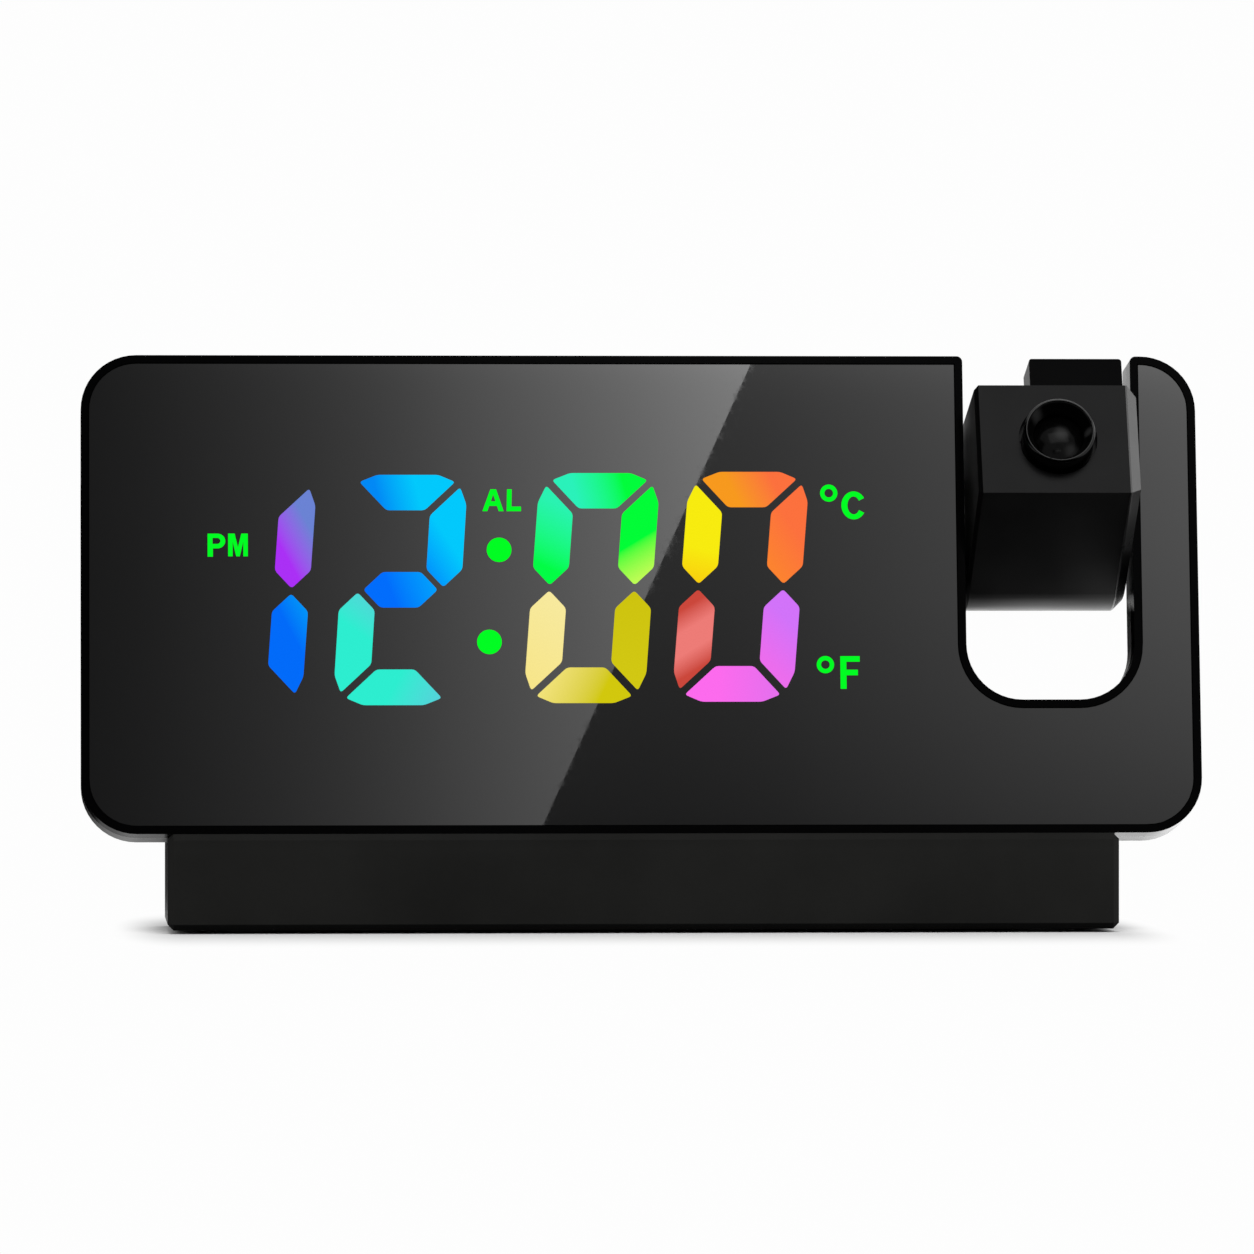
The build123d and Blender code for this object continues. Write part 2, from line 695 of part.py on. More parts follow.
def light_guides(faces):
    """Milky blocks in the mask's windows, against the back of the mirror."""
    return [slab(face, MIRROR_BACK, MIRROR_BACK + GUIDE_DEPTH) for face in faces]


def led_board():
    """Circuit board of the display, with its snooze switch's place at the top edge."""
    return slab(mask_face(), LED_BOARD_FRONT, LED_BOARD_BACK)


def led_chips(groups):
    """One chip on the LED board behind each light guide."""
    wide, high, deep = CHIP
    chips = []
    for faces in groups.values():
        for face in faces:
            mid = face.center()
            chips.append(Pos(mid.X, mid.Y, -LED_BOARD_FRONT + deep / 2) * Box(wide, high, deep))
    return chips


# ---------------------------------------------------------------- control board


def control_board():
    """Main circuit board on the rear cover's posts."""
    board = Pos(CONTROL_X, CONTROL_MID_UP, -CONTROL_BEHIND - CONTROL_THICKNESS / 2) * Box(
        CONTROL_WIDTH, CONTROL_HEIGHT, CONTROL_THICKNESS
    )
    for x, up in BOARD_POSTS:
        board -= column(
            SCREW_RADIUS + SCREW_CLEARANCE, -CONTROL_BACK - PAST, PAST - CONTROL_BEHIND, x, up
        )
    return board


def board_screws():
    """Screws that hold the control board to its posts."""
    drive = screw(CONTROL_THICKNESS + POST_HOLE_DEPTH - SCREW_SPARE)
    return [Pos(x, up, -CONTROL_BEHIND) * drive for x, up in BOARD_POSTS]


def on_back(x, up, size):
    """A block of width, height and thickness on the rear side of the control board."""
    return Pos(x, up, -CONTROL_BACK - size[2] / 2) * Box(*size)


def board_chips():
    """Processor, memory, crystal and two capacitors on the control board."""
    blocks = [(PROCESSOR, PROCESSOR_PLACE), (MEMORY, MEMORY_PLACE), (CRYSTAL, CRYSTAL_PLACE)]
    parts = [on_back(CONTROL_X + x, CONTROL_MID_UP + up, size) for size, (x, up) in blocks]
    for x, up in CAPACITOR_PLACES:
        low = -CONTROL_BACK - CAPACITOR_HEIGHT
        spot = (CONTROL_X + x, CONTROL_MID_UP + up)
        parts.append(column(CAPACITOR_RADIUS, low, -CONTROL_BACK, *spot))
    return parts


def display_connector():
    """Pin header between the LED board and the control board."""
    x, up = CONTROL_X + HEADER_PLACE[0], CONTROL_MID_UP + HEADER_PLACE[1]
    wide, high = HEADER
    return block(
        (x - wide / 2, up - high / 2, -CONTROL_BEHIND),
        (x + wide / 2, up + high / 2, -LED_BOARD_BACK),
    )


def key_switches():
    """Tact switches: one behind each key, and one at the top of the LED board for the snooze bar."""
    switches = []
    for x in key_places().values():
        body = on_back(x, KEY_UP, (SWITCH_SIZE, SWITCH_SIZE, SWITCH_HEIGHT))
        top = -CONTROL_BACK - SWITCH_HEIGHT
        button = column(KEY_STEM_RADIUS, top - SWITCH_BUTTON, top, x, KEY_UP)
        switches.append(body + button)
    switches.append(
        block(
            (SNOOZE_X - SWITCH_SIZE / 2, MASK_HIGH - SWITCH_SIZE, -LED_BOARD_BACK - SWITCH_HEIGHT),
            (SNOOZE_X + SWITCH_SIZE / 2, SNOOZE_SWITCH_TOP, -LED_BOARD_BACK),
        )
    )
    return switches


def usb_outlet():
    """Charging outlet: a folded shell with its tongue, open to the left."""
    breadth, height, length = OUTLET
    left = BULGE_LEFT + SHEET
    shell = block(
        (left, OUTLET_UP - breadth / 2, -CONTROL_BACK - height),
        (left + length, OUTLET_UP + breadth / 2, -CONTROL_BACK),
    )
    shell -= block(
        (left - PAST, OUTLET_UP - breadth / 2 + SHEET, -CONTROL_BACK - height + SHEET),
        (left + length - OUTLET_BACK, OUTLET_UP + breadth / 2 - SHEET, -CONTROL_BACK - SHEET),
    )
    return shell


def usb_tongue():
    """Plastic tongue inside the charging outlet."""
    breadth, height, length = OUTLET
    left = BULGE_LEFT + SHEET
    return block(
        (left + TONGUE_IN, OUTLET_UP - breadth / 2 + 3 * SHEET, -CONTROL_BACK - height / 2),
        (left + length - OUTLET_BACK, OUTLET_UP + breadth / 2 - 3 * SHEET, -CONTROL_BACK - SHEET),
    )


def inlet_face(shrink):
    """Outline of the power inlet's mouth."""
    breadth, height, _ = INLET
    return RectangleRounded(
        breadth - 2 * shrink, height - 2 * shrink, height / 2 - shrink - NEAR
    )


def power_inlet():
    """Power inlet: a round-ended shell with its tongue, open to the left."""
    _, height, length = INLET
    left = BULGE_LEFT + SHEET
    place = Pos(left, INLET_UP, -CONTROL_BACK - height / 2) * Rot(0, 90, 0) * Rot(0, 0, 90)
    shell = extrude(place * inlet_face(0), length, dir=(1, 0, 0))
    shell -= extrude(place * inlet_face(SHEET), length - INLET_BACK, dir=(1, 0, 0))
    wide, thick = INLET_TONGUE
    middle = -CONTROL_BACK - height / 2
    tongue = block(
        (left + TONGUE_IN, INLET_UP - wide / 2, middle - thick / 2),
        (left + length - INLET_BACK / 2, INLET_UP + wide / 2, middle + thick / 2),
    )
    return shell + tongue


def buzzer():
    """Round sounder against the inside of the back, behind the sound holes."""
    x, up = BUZZER_PLACE
    body = column(BUZZER_RADIUS, -BACK_INSIDE, -BACK_INSIDE + BUZZER_HEIGHT, x, up)
    return body - column(
        BUZZER_RADIUS - BUZZER_LIP, -BACK_INSIDE - PAST, BUZZER_LIP - BACK_INSIDE, x, up
    )


def temperature_sensor():
    """Glass bead on two legs beside the vents."""
    x, up = VENT_PLACE
    up -= VENT[1] / 2
    length = SENSOR_PITCH + 2 * SENSOR_LEG
    bead = across(SENSOR_RADIUS, x - length / 2, x + length / 2, up, -CONTROL_BACK - SENSOR_BEHIND)
    for side in (-1, 1):
        leg = Box(SENSOR_LEG, SENSOR_LEG, SENSOR_BEHIND)
        bead += Pos(x + side * SENSOR_PITCH / 2, up, -CONTROL_BACK - SENSOR_BEHIND / 2) * leg
    return bead


# ---------------------------------------------------------------- keys


KEY_FLANGE_NEAR = BACK_INSIDE - SEAT_GAP / 2 - KEY_FLANGE_THICKNESS
KEY_STEM_NEAR = CONTROL_BACK + SWITCH_HEIGHT + SWITCH_BUTTON + KEY_TRAVEL + KEY_REST_GAP
SNOOZE_FLANGE_TOP = PANEL_HEIGHT - CASE_WALL - SEAT_GAP / 2
SNOOZE_SWITCH_TOP = MASK_HIGH + SNOOZE_SWITCH_ABOVE
SNOOZE_STEM_LOW = SNOOZE_SWITCH_TOP + KEY_TRAVEL + KEY_REST_GAP


def rear_key(x):
    """A round key: crowned cap outside, flange inside the back, stem to its switch."""
    key = column(KEY_RADIUS, -BULGE_BACK - KEY_STANDS_OUT, -KEY_FLANGE_NEAR)
    key = fillet(key.edges().sort_by(Axis.Z)[0], KEY_ROUND)
    key += column(
        KEY_RADIUS + KEY_FLANGE, -KEY_FLANGE_NEAR - KEY_FLANGE_THICKNESS, -KEY_FLANGE_NEAR
    )
    key += column(KEY_STEM_RADIUS, -KEY_FLANGE_NEAR, -KEY_STEM_NEAR)
    return Pos(x, KEY_UP, 0) * key


def snooze_bar():
    """Long bar in the top edge, with a flange under the wall and a stem to its switch."""
    half = SNOOZE_LENGTH / 2
    deep = SNOOZE_BREADTH / 2
    bar = block((-half, SNOOZE_FLANGE_TOP, -deep), (half, PANEL_HEIGHT + SNOOZE_STANDS_OUT, deep))
    bar = fillet(bar.edges().filter_by(Axis.X).group_by(Axis.Y)[-1], SNOOZE_ROUND)
    bar += block(
        (-half - SNOOZE_FLANGE_REACH, SNOOZE_FLANGE_TOP - SNOOZE_FLANGE, -deep),
        (half + SNOOZE_FLANGE_REACH, SNOOZE_FLANGE_TOP, deep),
    )
    wide, thick = SNOOZE_STEM
    bar += block(
        (-wide / 2, SNOOZE_STEM_LOW, -thick / 2), (wide / 2, SNOOZE_FLANGE_TOP, thick / 2)
    )
    return Pos(SNOOZE_X, 0, -SNOOZE_BEHIND) * bar


# ---------------------------------------------------------------- base


BASE_POST_X = BASE_WIDTH / 2 - BASE_POST_INSET[0]
BASE_POST_Y = BASE_DEPTH / 2 - BASE_POST_INSET[1]
BASE_POST_SPOTS = [
    (sx * BASE_POST_X, BASE_Y + sy * BASE_POST_Y) for sx in (-1, 1) for sy in (-1, 1)
]
DECK_INSIDE = BASE_TOP - BASE_WALL
SEAT_INSIDE = BASE_TOP - SEAT_DROP - BASE_WALL
PLATE_HEAD = BASE_LIFT + SCREW_HEAD_HEIGHT


def base_shell():
    """Bevelled block open below, with a sloped seat for the housing along its top."""
    x, y = BASE_WIDTH / 2, BASE_DEPTH / 2
    shell = block((-x, BASE_Y - y, BASE_LIFT), (x, BASE_Y + y, BASE_TOP))
    shell = chamfer(shell.edges(), BASE_BEVEL)
    shell -= ON_PANEL * block(
        (-PANEL_WIDTH, 0, -HOUSING_DEPTH - SEAT_GAP), (PANEL_WIDTH, PANEL_HEIGHT, 0)
    )
    split = SEAT_REAR_Y + BASE_WALL
    shell -= block(
        (-CAVITY_X, BASE_Y - CAVITY_Y, 0), (CAVITY_X, BASE_Y + CAVITY_Y, SEAT_INSIDE)
    )
    shell -= block((-CAVITY_X, split, 0), (CAVITY_X, BASE_Y + CAVITY_Y, DECK_INSIDE))
    for px, py in BASE_POST_SPOTS:
        top = DECK_INSIDE if py > BASE_Y else SEAT_INSIDE
        shell += column(POST_RADIUS, BASE_FLOOR, top + POST_ROOT, px, py)
        shell -= column(SCREW_RADIUS, BASE_FLOOR - PAST, BASE_FLOOR + POST_HOLE_DEPTH, px, py)
    for side in (-1, 1):
        place = ON_PANEL * Pos(side * BASE_SCREW_X, 0, -BASE_SCREW_BEHIND) * Rot(-90, 0, 0)
        shell -= place * column(SCREW_RADIUS + SCREW_CLEARANCE, -BASE_TOP / 2, PAST)
        shell -= place * column(
            SCREW_HEAD_RADIUS + SCREW_CLEARANCE, -BASE_TOP / 2, -BASE_SCREW_HEAD_DOWN
        )
    notch = DOOR_HALF + DOOR_TONGUE + DOOR_SLOT_GAP
    shell -= block(
        (-notch, BASE_Y + CAVITY_Y - PAST, 0), (notch, BASE_Y + y + PAST, BASE_FLOOR)
    )
    return shell


def base_bottom():
    """Plate that closes the base, with the battery bay's walls and the door's grooves."""
    x, y = CAVITY_X - BASE_GAP, CAVITY_Y - BASE_GAP
    plate = block((-x, BASE_Y - y, BASE_LIFT), (x, BASE_Y + y, BASE_FLOOR))
    bay_x = BAY_LENGTH / 2
    wall_top = BASE_FLOOR + BAY_HEIGHT
    walls = block(
        (-bay_x - BAY_WALL, BAY_FRONT - BAY_WALL, BASE_FLOOR), (bay_x + BAY_WALL, BAY_REAR, wall_top)
    )
    plate += walls
    plate -= block((-bay_x, BAY_FRONT, BASE_LIFT - PAST), (bay_x, BAY_REAR + PAST, wall_top + PAST))
    groove_low = BASE_LIFT + (DOOR_THICKNESS - DOOR_TONGUE_THICKNESS) / 2 - DOOR_SLOT_GAP
    groove_high = groove_low + DOOR_TONGUE_THICKNESS + 2 * DOOR_SLOT_GAP
    half = DOOR_HALF + DOOR_TONGUE
    plate -= block(
        (-half, BAY_FRONT, groove_low), (half, BAY_REAR + PAST, groove_high)
    )
    for px, py in BASE_POST_SPOTS:
        plate -= column(SCREW_RADIUS + SCREW_CLEARANCE, 0, BASE_FLOOR + PAST, px, py)
        plate -= column(SCREW_HEAD_RADIUS + SCREW_CLEARANCE, 0, PLATE_HEAD, px, py)
    for fx, fy in foot_spots():
        plate -= column(FOOT_RADIUS, 0, BASE_LIFT + FOOT_SINK, fx, fy)
    return plate


def foot_spots():
    """Middle of each foot under the base."""
    x = BASE_WIDTH / 2 - FOOT_FROM_END
    y = BASE_DEPTH / 2 - FOOT_FROM_EDGE
    return [(sx * x, BASE_Y + sy * y) for sx in (-1, 1) for sy in (-1, 1)]


def rubber_feet():
    """Four round feet, sunk into the base bottom."""
    foot = column(FOOT_RADIUS, 0, BASE_LIFT + FOOT_SINK)
    foot = chamfer(foot.edges().sort_by(Axis.Z)[0], FOOT_BEVEL)
    return [Pos(x, y, 0) * foot for x, y in foot_spots()]


def base_screws():
    """Screws up through the base bottom into the shell's posts."""
    drive = Rot(180, 0, 0) * screw(BASE_FLOOR - PLATE_HEAD + POST_HOLE_DEPTH - SCREW_SPARE)
    return [Pos(x, y, PLATE_HEAD) * drive for x, y in BASE_POST_SPOTS]


def battery_door():
    """Sliding door under the cells, with a tongue along each side and finger ribs near its edge."""
    half = BAY_LENGTH / 2 - DOOR_SLOT_GAP
    front = BAY_FRONT + DOOR_GAP
    rear = BASE_Y + BASE_DEPTH / 2
    top = BASE_LIFT + DOOR_THICKNESS
    door = block((-half, front, BASE_LIFT), (half, rear, top))
    lip = door.edges().group_by(Axis.Y)[-1].filter_by(Axis.X).sort_by(Axis.Z)[0]
    door = chamfer(lip, DOOR_BEVEL)
    low = BASE_LIFT + (DOOR_THICKNESS - DOOR_TONGUE_THICKNESS) / 2
    tongue = DOOR_HALF + DOOR_TONGUE - DOOR_SLOT_GAP
    door += block((-tongue, front, low), (tongue, BAY_REAR, low + DOOR_TONGUE_THICKNESS))
    for i in range(DOOR_RIB_COUNT):
        rib_y = rear - DOOR_RIB_FROM_EDGE - DOOR_RIB_PITCH * i
        door -= Pos(0, rib_y, BASE_LIFT) * Box(*DOOR_RIB)
    return door


def cell_rows():
    """Y of each cell's axis, and the side that its raised end points to."""
    first = BAY_FRONT + CELL_GAP + CELL_RADIUS
    return [(first, 1), (first + 2 * CELL_RADIUS + CELL_GAP, -1)]


def battery_cells():
    """Two small cells side by side, pointing opposite ways."""
    cells = []
    for y, way in cell_rows():
        tip = BAY_LENGTH / 2 - CONTACT_BUMP
        neck = tip - CELL_NUB_LENGTH
        body = across(CELL_RADIUS, neck - CELL_LENGTH, neck)
        body += across(CELL_NUB_RADIUS, neck, tip)
        turn = Rot(0, 0, 0 if way > 0 else 180)
        cells.append(Pos(0, y, CELL_Z) * turn * body)
    return cells


def battery_contacts():
    """A plate with a bump for each raised end, and a folded leaf for each flat end."""
    wall = BAY_LENGTH / 2
    high = CONTACT_HALF
    parts = []
    for y, way in cell_rows():
        turn = Pos(0, y, CELL_Z) * Rot(0, 0, 0 if way > 0 else 180)
        plate = block((wall - SHEET, -high, -high), (wall, high, high))
        plate += across(CELL_NUB_RADIUS, wall - CONTACT_BUMP, wall)
        parts.append(turn * plate)
        back = -wall + SHEET
        near = -wall + CONTACT_SPRING - SHEET
        leaf = make_face(
            Polyline(
                (-wall, -high),
                (back, -high),
                (near, 0),
                (near + SHEET, 0),
                (near + SHEET, CONTACT_TIP),
                (near, CONTACT_TIP),
                (back, high),
                (-wall, high),
                close=True,
            )
        )
        inner = make_face(
            Polyline(
                (back, -high + 3 * SHEET),
                (near - SHEET, CONTACT_TIP / 2),
                (back, high - 3 * SHEET),
                close=True,
            )
        )
        spring = extrude(Plane.XZ * (leaf - inner), high / 2, both=True)
        parts.append(turn * spring)
    return parts


# ---------------------------------------------------------------- projector arm


def arm_face(inset=0.0):
    """Side view of the arm, drawn in by inset: a flat front joined to the hub by tangents."""
    front = -ARM_REACH + inset
    radius = HUB_RADIUS - inset
    turn = ARM_TANGENT
    high = (radius + front * cos(turn)) / sin(turn)
    top = (-radius * cos(turn), radius * sin(turn))
    low = (-radius * cos(turn), -radius * sin(turn))
    edges = [
        Line((front, -high), (front, high)),
        Line((front, high), top),
        ThreePointArc(top, (radius, 0), low),
        Line(low, (front, -high)),
    ]
    return make_face(edges)


def arm_slab(face, left, right):
    """A side-view face carried across the arm from one X to another."""
    return extrude(Plane.YZ.offset(left) * face, right - left)


ARM_SCREW_SPOTS = [
    ARM_SCREW_AT_HUB,
    (ARM_SCREW_AT_HUB[0], -ARM_SCREW_AT_HUB[1]),
    ARM_SCREW_AT_FRONT,
]
STEM_SLOT = STEM_WIDTH / 2 + RUNNING_GAP
STEM_REACH = STEM_LENGTH / 2 + FOCUS_TRAVEL + RUNNING_GAP


def top_edge(y):
    """Height of the arm's upper surface above the lens axis."""
    return ARM_FACE / 2 + (y + ARM_REACH) * ARM_SLOPE


def arm_housing():
    """Hollow arm open at its right side, with the lens guide, screw posts and thumb slot."""
    body = arm_slab(arm_face(), ARM_LEFT, COVER_SIDE)
    body = chamfer(body.faces().sort_by(Axis.X)[0].edges(), ARM_BEVEL)
    body -= arm_slab(arm_face(ARM_WALL), ARM_LEFT + ARM_WALL, COVER_SIDE + PAST)
    guide_radius = BARREL_RADIUS + HINGE_FIT
    body += along(guide_radius + GUIDE_WALL, -ARM_REACH + ARM_WALL / 2, GUIDE_BACK)
    body -= along(guide_radius, -ARM_REACH - PAST, GUIDE_BACK + PAST)
    body -= along(LENS_HOLE_RADIUS, -ARM_REACH - PAST, -ARM_REACH + ARM_WALL)
    for y, z in ARM_SCREW_SPOTS:
        body += across(POST_RADIUS, ARM_LEFT + ARM_WALL / 2, COVER_SIDE, y, z)
        body -= across(SCREW_RADIUS, COVER_SIDE - POST_HOLE_DEPTH, COVER_SIDE + PAST, y, z)
    body -= block(
        (STEM_OFFSET - STEM_SLOT, STEM_MID - STEM_REACH, ARM_FACE / 2 - PAST),
        (STEM_OFFSET + STEM_SLOT, STEM_MID + STEM_REACH, HUB_RADIUS + PAST),
    )
    body -= across(TRUNNION_RADIUS, ARM_LEFT - PAST, ARM_LEFT + ARM_WALL + PAST)
    for y, z in flange_spots():
        body -= across(
            TRUNNION_SCREW_RADIUS, ARM_LEFT + SCREW_SPARE / 2, ARM_LEFT + ARM_WALL + PAST, y, z
        )
    return body


def arm_cover():
    """Plate over the arm's right side, with a broad bevel and sunk screw heads."""
    plate = arm_slab(arm_face(), COVER_SIDE, ARM_RIGHT)
    plate = chamfer(plate.faces().sort_by(Axis.X)[-1].edges(), COVER_BEVEL)
    seat = ARM_RIGHT - SCREW_HEAD_HEIGHT
    for y, z in ARM_SCREW_SPOTS:
        plate -= across(SCREW_RADIUS + SCREW_CLEARANCE, COVER_SIDE - PAST, ARM_RIGHT + PAST, y, z)
        plate -= across(SCREW_HEAD_RADIUS + SCREW_CLEARANCE, seat, ARM_RIGHT + PAST, y, z)
    return plate


def arm_screws():
    """Screws through the arm's cover into its posts."""
    drive = Rot(0, 90, 0) * screw(COVER_THICKNESS - SCREW_HEAD_HEIGHT + POST_HOLE_DEPTH - SCREW_SPARE)
    return [Pos(ARM_RIGHT - SCREW_HEAD_HEIGHT, y, z) * drive for y, z in ARM_SCREW_SPOTS]


def flange_spots():
    """Screw places round the trunnion's flange."""
    radius = (TRUNNION_RADIUS + TRUNNION_FLANGE) / 2
    return [
        (radius * cos(radians(angle)), radius * sin(radians(angle))) for angle in (90, 210, 330)
    ]


def hinge_trunnion():
    """Hollow pin with a flange inside the arm; it turns in the rear cover's boss."""
    pin = across(TRUNNION_RADIUS, TRUNNION_END, FLANGE_SIDE)
    pin += across(TRUNNION_FLANGE, ARM_LEFT + ARM_WALL, FLANGE_SIDE)
    pin -= across(TRUNNION_BORE, TRUNNION_END - PAST, FLANGE_SIDE + PAST)
    groove = across(TRUNNION_RADIUS + PAST, CLIP_RIGHT - CLIP_THICKNESS, CLIP_RIGHT)
    groove -= across(TRUNNION_RADIUS - CLIP_GROOVE, CLIP_RIGHT - CLIP_THICKNESS, CLIP_RIGHT)
    pin -= groove
    for y, z in flange_spots():
        pin -= across(TRUNNION_SCREW_RADIUS, ARM_LEFT + ARM_WALL - PAST, FLANGE_SIDE + PAST, y, z)
    return pin


def trunnion_screws():
    """Short screws through the flange into the arm's left wall."""
    head_radius, head_height = TRUNNION_SCREW_HEAD
    length = TRUNNION_FLANGE_THICKNESS + ARM_WALL - SCREW_SPARE
    drive = column(head_radius, 0, head_height) + column(TRUNNION_SCREW_RADIUS, -length, 0)
    return [Pos(FLANGE_SIDE, y, z) * Rot(0, 90, 0) * drive for y, z in flange_spots()]


def ring(outer, inner, left, right):
    """A flat ring about the swivel axis."""
    return across(outer, left, right) - across(inner, left - PAST, right + PAST)


def friction_washer():
    """Ring on the trunnion between the arm and the slot's wall."""
    left = ARM_LEFT - FRICTION_WASHER
    return ring(FRICTION_WASHER_RADIUS, TRUNNION_RADIUS, left, ARM_LEFT)


def spring_washer():
    """Ring on the trunnion against the end of the hinge boss."""
    hold = TRUNNION_RADIUS + HINGE_FIT
    return ring(hold + SPRING_WASHER_WIDTH, hold, BOSS_END - SPRING_WASHER, BOSS_END)


def retaining_clip():
    """Open clip in the trunnion's groove."""
    left = CLIP_RIGHT - CLIP_THICKNESS
    clip = ring(TRUNNION_RADIUS + CLIP_WIDTH, TRUNNION_RADIUS - CLIP_GROOVE, left, CLIP_RIGHT)
    low = -TRUNNION_RADIUS - CLIP_WIDTH - PAST
    return clip - block((left - PAST, -CLIP_MOUTH / 2, low), (CLIP_RIGHT + PAST, CLIP_MOUTH / 2, 0))


def lens_barrel():
    """Tube that carries the lens, flared inside its mouth, with a step behind the lens."""
    tube = along(BARREL_RADIUS, BARREL_FRONT, BARREL_BACK)
    tube = chamfer(tube.edges().sort_by(Axis.Y)[0], BARREL_BEVEL)
    inner = BARREL_RADIUS - BARREL_WALL
    lens_back = BARREL_FRONT + LENS_SETBACK + LENS_THICKNESS
    tube -= along(inner, BARREL_FRONT + LENS_SETBACK, lens_back)
    tube -= along(inner - BARREL_STEP, lens_back - PAST, BARREL_BACK + PAST)
    mouth = Pos(0, BARREL_FRONT + LENS_SETBACK / 2, 0) * Rot(90, 0, 0) * Cone(
        inner - MOUTH_LIP, BARREL_RADIUS - MOUTH_LIP, LENS_SETBACK
    )
    return tube - mouth


def projection_lens():
    """Glass lens with a crowned front, held in the barrel against its step."""
    radius = BARREL_RADIUS - BARREL_WALL
    ball = (radius**2 + LENS_CROWN**2) / (2 * LENS_CROWN)
    lens = along(radius, 0, LENS_THICKNESS) & Pos(0, ball, 0) * Sphere(ball)
    return Pos(0, BARREL_FRONT + LENS_SETBACK, 0) * lens


def focus_slider():
    """Collar round the barrel, a stem through the arm's top and the thumb piece on it."""
    front = STEM_MID - COLLAR_LENGTH / 2
    slider = along(COLLAR_RADIUS, front, front + COLLAR_LENGTH)
    slider -= along(BARREL_RADIUS, front - PAST, front + COLLAR_LENGTH + PAST)
    low = [(y, top_edge(y) + THUMB_GAP) for y in (THUMB_FRONT, THUMB_FRONT + THUMB_LENGTH)]
    rise = THUMB_HEIGHT - THUMB_GAP
    high = [(y, z + rise) for y, z in low]
    thumb = make_face(Polyline(low[0], low[1], high[1], high[0], close=True))
    thumb = extrude(Plane.YZ.offset(THUMB_OFFSET - THUMB_WIDTH / 2) * thumb, THUMB_WIDTH)
    top_face = thumb.faces().sort_by(Axis.Z)[-1]
    thumb = fillet(top_face.edges(), THUMB_ROUND)
    slider += thumb
    stem_top = top_edge(STEM_MID) + 2 * THUMB_GAP
    slider += block(
        (STEM_OFFSET - STEM_WIDTH / 2, STEM_MID - STEM_LENGTH / 2, BARREL_RADIUS + SHEET),
        (STEM_OFFSET + STEM_WIDTH / 2, STEM_MID + STEM_LENGTH / 2, stem_top),
    )
    return slider


BRACKET_FRONT = BARREL_BACK + FOCUS_TRAVEL + BRACKET_CLEAR
BRACKET_BACK = BRACKET_FRONT + BRACKET_LENGTH
BRACKET_INSIDE = BRACKET_HALF - BRACKET_WALL
SLIDE_BACK = BRACKET_FRONT + SLIDE_IN + SLIDE_THICKNESS


def optics_bracket():
    """Square tube behind the barrel, on a foot that stands on the arm's left wall."""
    bracket = block(
        (-BRACKET_HALF, BRACKET_FRONT, -BRACKET_HALF), (BRACKET_HALF, BRACKET_BACK, BRACKET_HALF)
    )
    bracket -= block(
        (-BRACKET_INSIDE, BRACKET_FRONT - PAST, -BRACKET_INSIDE),
        (BRACKET_INSIDE, BRACKET_BACK + PAST, BRACKET_INSIDE),
    )
    bracket += block(
        (ARM_LEFT + ARM_WALL, BRACKET_FRONT, -BRACKET_HALF / 2),
        (-BRACKET_HALF, BRACKET_FRONT + BRACKET_FOOT, BRACKET_HALF / 2),
    )
    return bracket


def crystal_slide():
    """Liquid-crystal slide that holds the projected figures, in the front of the bracket."""
    half = BRACKET_INSIDE
    return block((-half, BRACKET_FRONT + SLIDE_IN, -half), (half, SLIDE_BACK, half))


def condenser_lens():
    """Round lens between the lamp and the slide."""
    front = SLIDE_BACK + CONDENSER_GAP
    return along(BRACKET_INSIDE, front, front + CONDENSER_THICKNESS)


def projector_lamp():
    """Lamp on its metal board, across the bracket's rear end."""
    board = block(
        (-BRACKET_HALF, BRACKET_BACK, -BRACKET_HALF),
        (BRACKET_HALF, BRACKET_BACK + LAMP_BOARD, BRACKET_HALF),
    )
    return board + along(LAMP_RADIUS, BRACKET_BACK - LAMP_LENGTH, BRACKET_BACK)


# ---------------------------------------------------------------- assembly


def placed(place, shape):
    """A shape, or each of several, moved to its place."""
    if isinstance(shape, list):
        return Compound(children=[place * one for one in shape])
    return place * shape


def case_nodes():
    """Everything drawn in the panel frame, by node name."""
    groups = light_groups()
    nodes = {
        "front_frame": front_frame(),
        "mirror_panel": mirror_panel(),
        "rear_cover": rear_cover(),
        "case_screws": case_screws(),
        "base_fixing_screws": base_fixing_screws(),
        "light_mask": light_mask(groups),
        "led_board": led_board(),
        "led_chips": led_chips(groups),
        "control_board": control_board(),
        "board_screws": board_screws(),
        "board_chips": board_chips(),
        "display_connector": display_connector(),
        "key_switches": key_switches(),
        "usb_outlet": usb_outlet(),
        "usb_tongue": usb_tongue(),
        "power_inlet": power_inlet(),
        "buzzer": buzzer(),
        "temperature_sensor": temperature_sensor(),
        "snooze_bar": snooze_bar(),
    }
    for name, faces in groups.items():
        nodes[name] = light_guides(faces)
    for name, x in key_places().items():
        nodes[name] = rear_key(x)
    return nodes


def base_nodes():
    """The base and what is in it, already in the clock's own frame."""
    return {
        "base_shell": base_shell(),
        "base_bottom": base_bottom(),
        "rubber_feet": rubber_feet(),
        "base_screws": base_screws(),
        "battery_door": battery_door(),
        "battery_cells": battery_cells(),
        "battery_contacts": battery_contacts(),
    }


def arm_nodes():
    """Everything drawn in the arm frame, by node name."""
    return {
        "arm_housing": arm_housing(),
        "arm_cover": arm_cover(),
        "arm_screws": arm_screws(),
        "hinge_trunnion": hinge_trunnion(),
        "trunnion_screws": trunnion_screws(),
        "friction_washer": friction_washer(),
        "spring_washer": spring_washer(),
        "retaining_clip": retaining_clip(),
        "lens_barrel": lens_barrel(),
        "projection_lens": projection_lens(),
        "focus_slider": focus_slider(),
        "optics_bracket": optics_bracket(),
        "crystal_slide": crystal_slide(),
        "condenser_lens": condenser_lens(),
        "projector_lamp": projector_lamp(),
    }


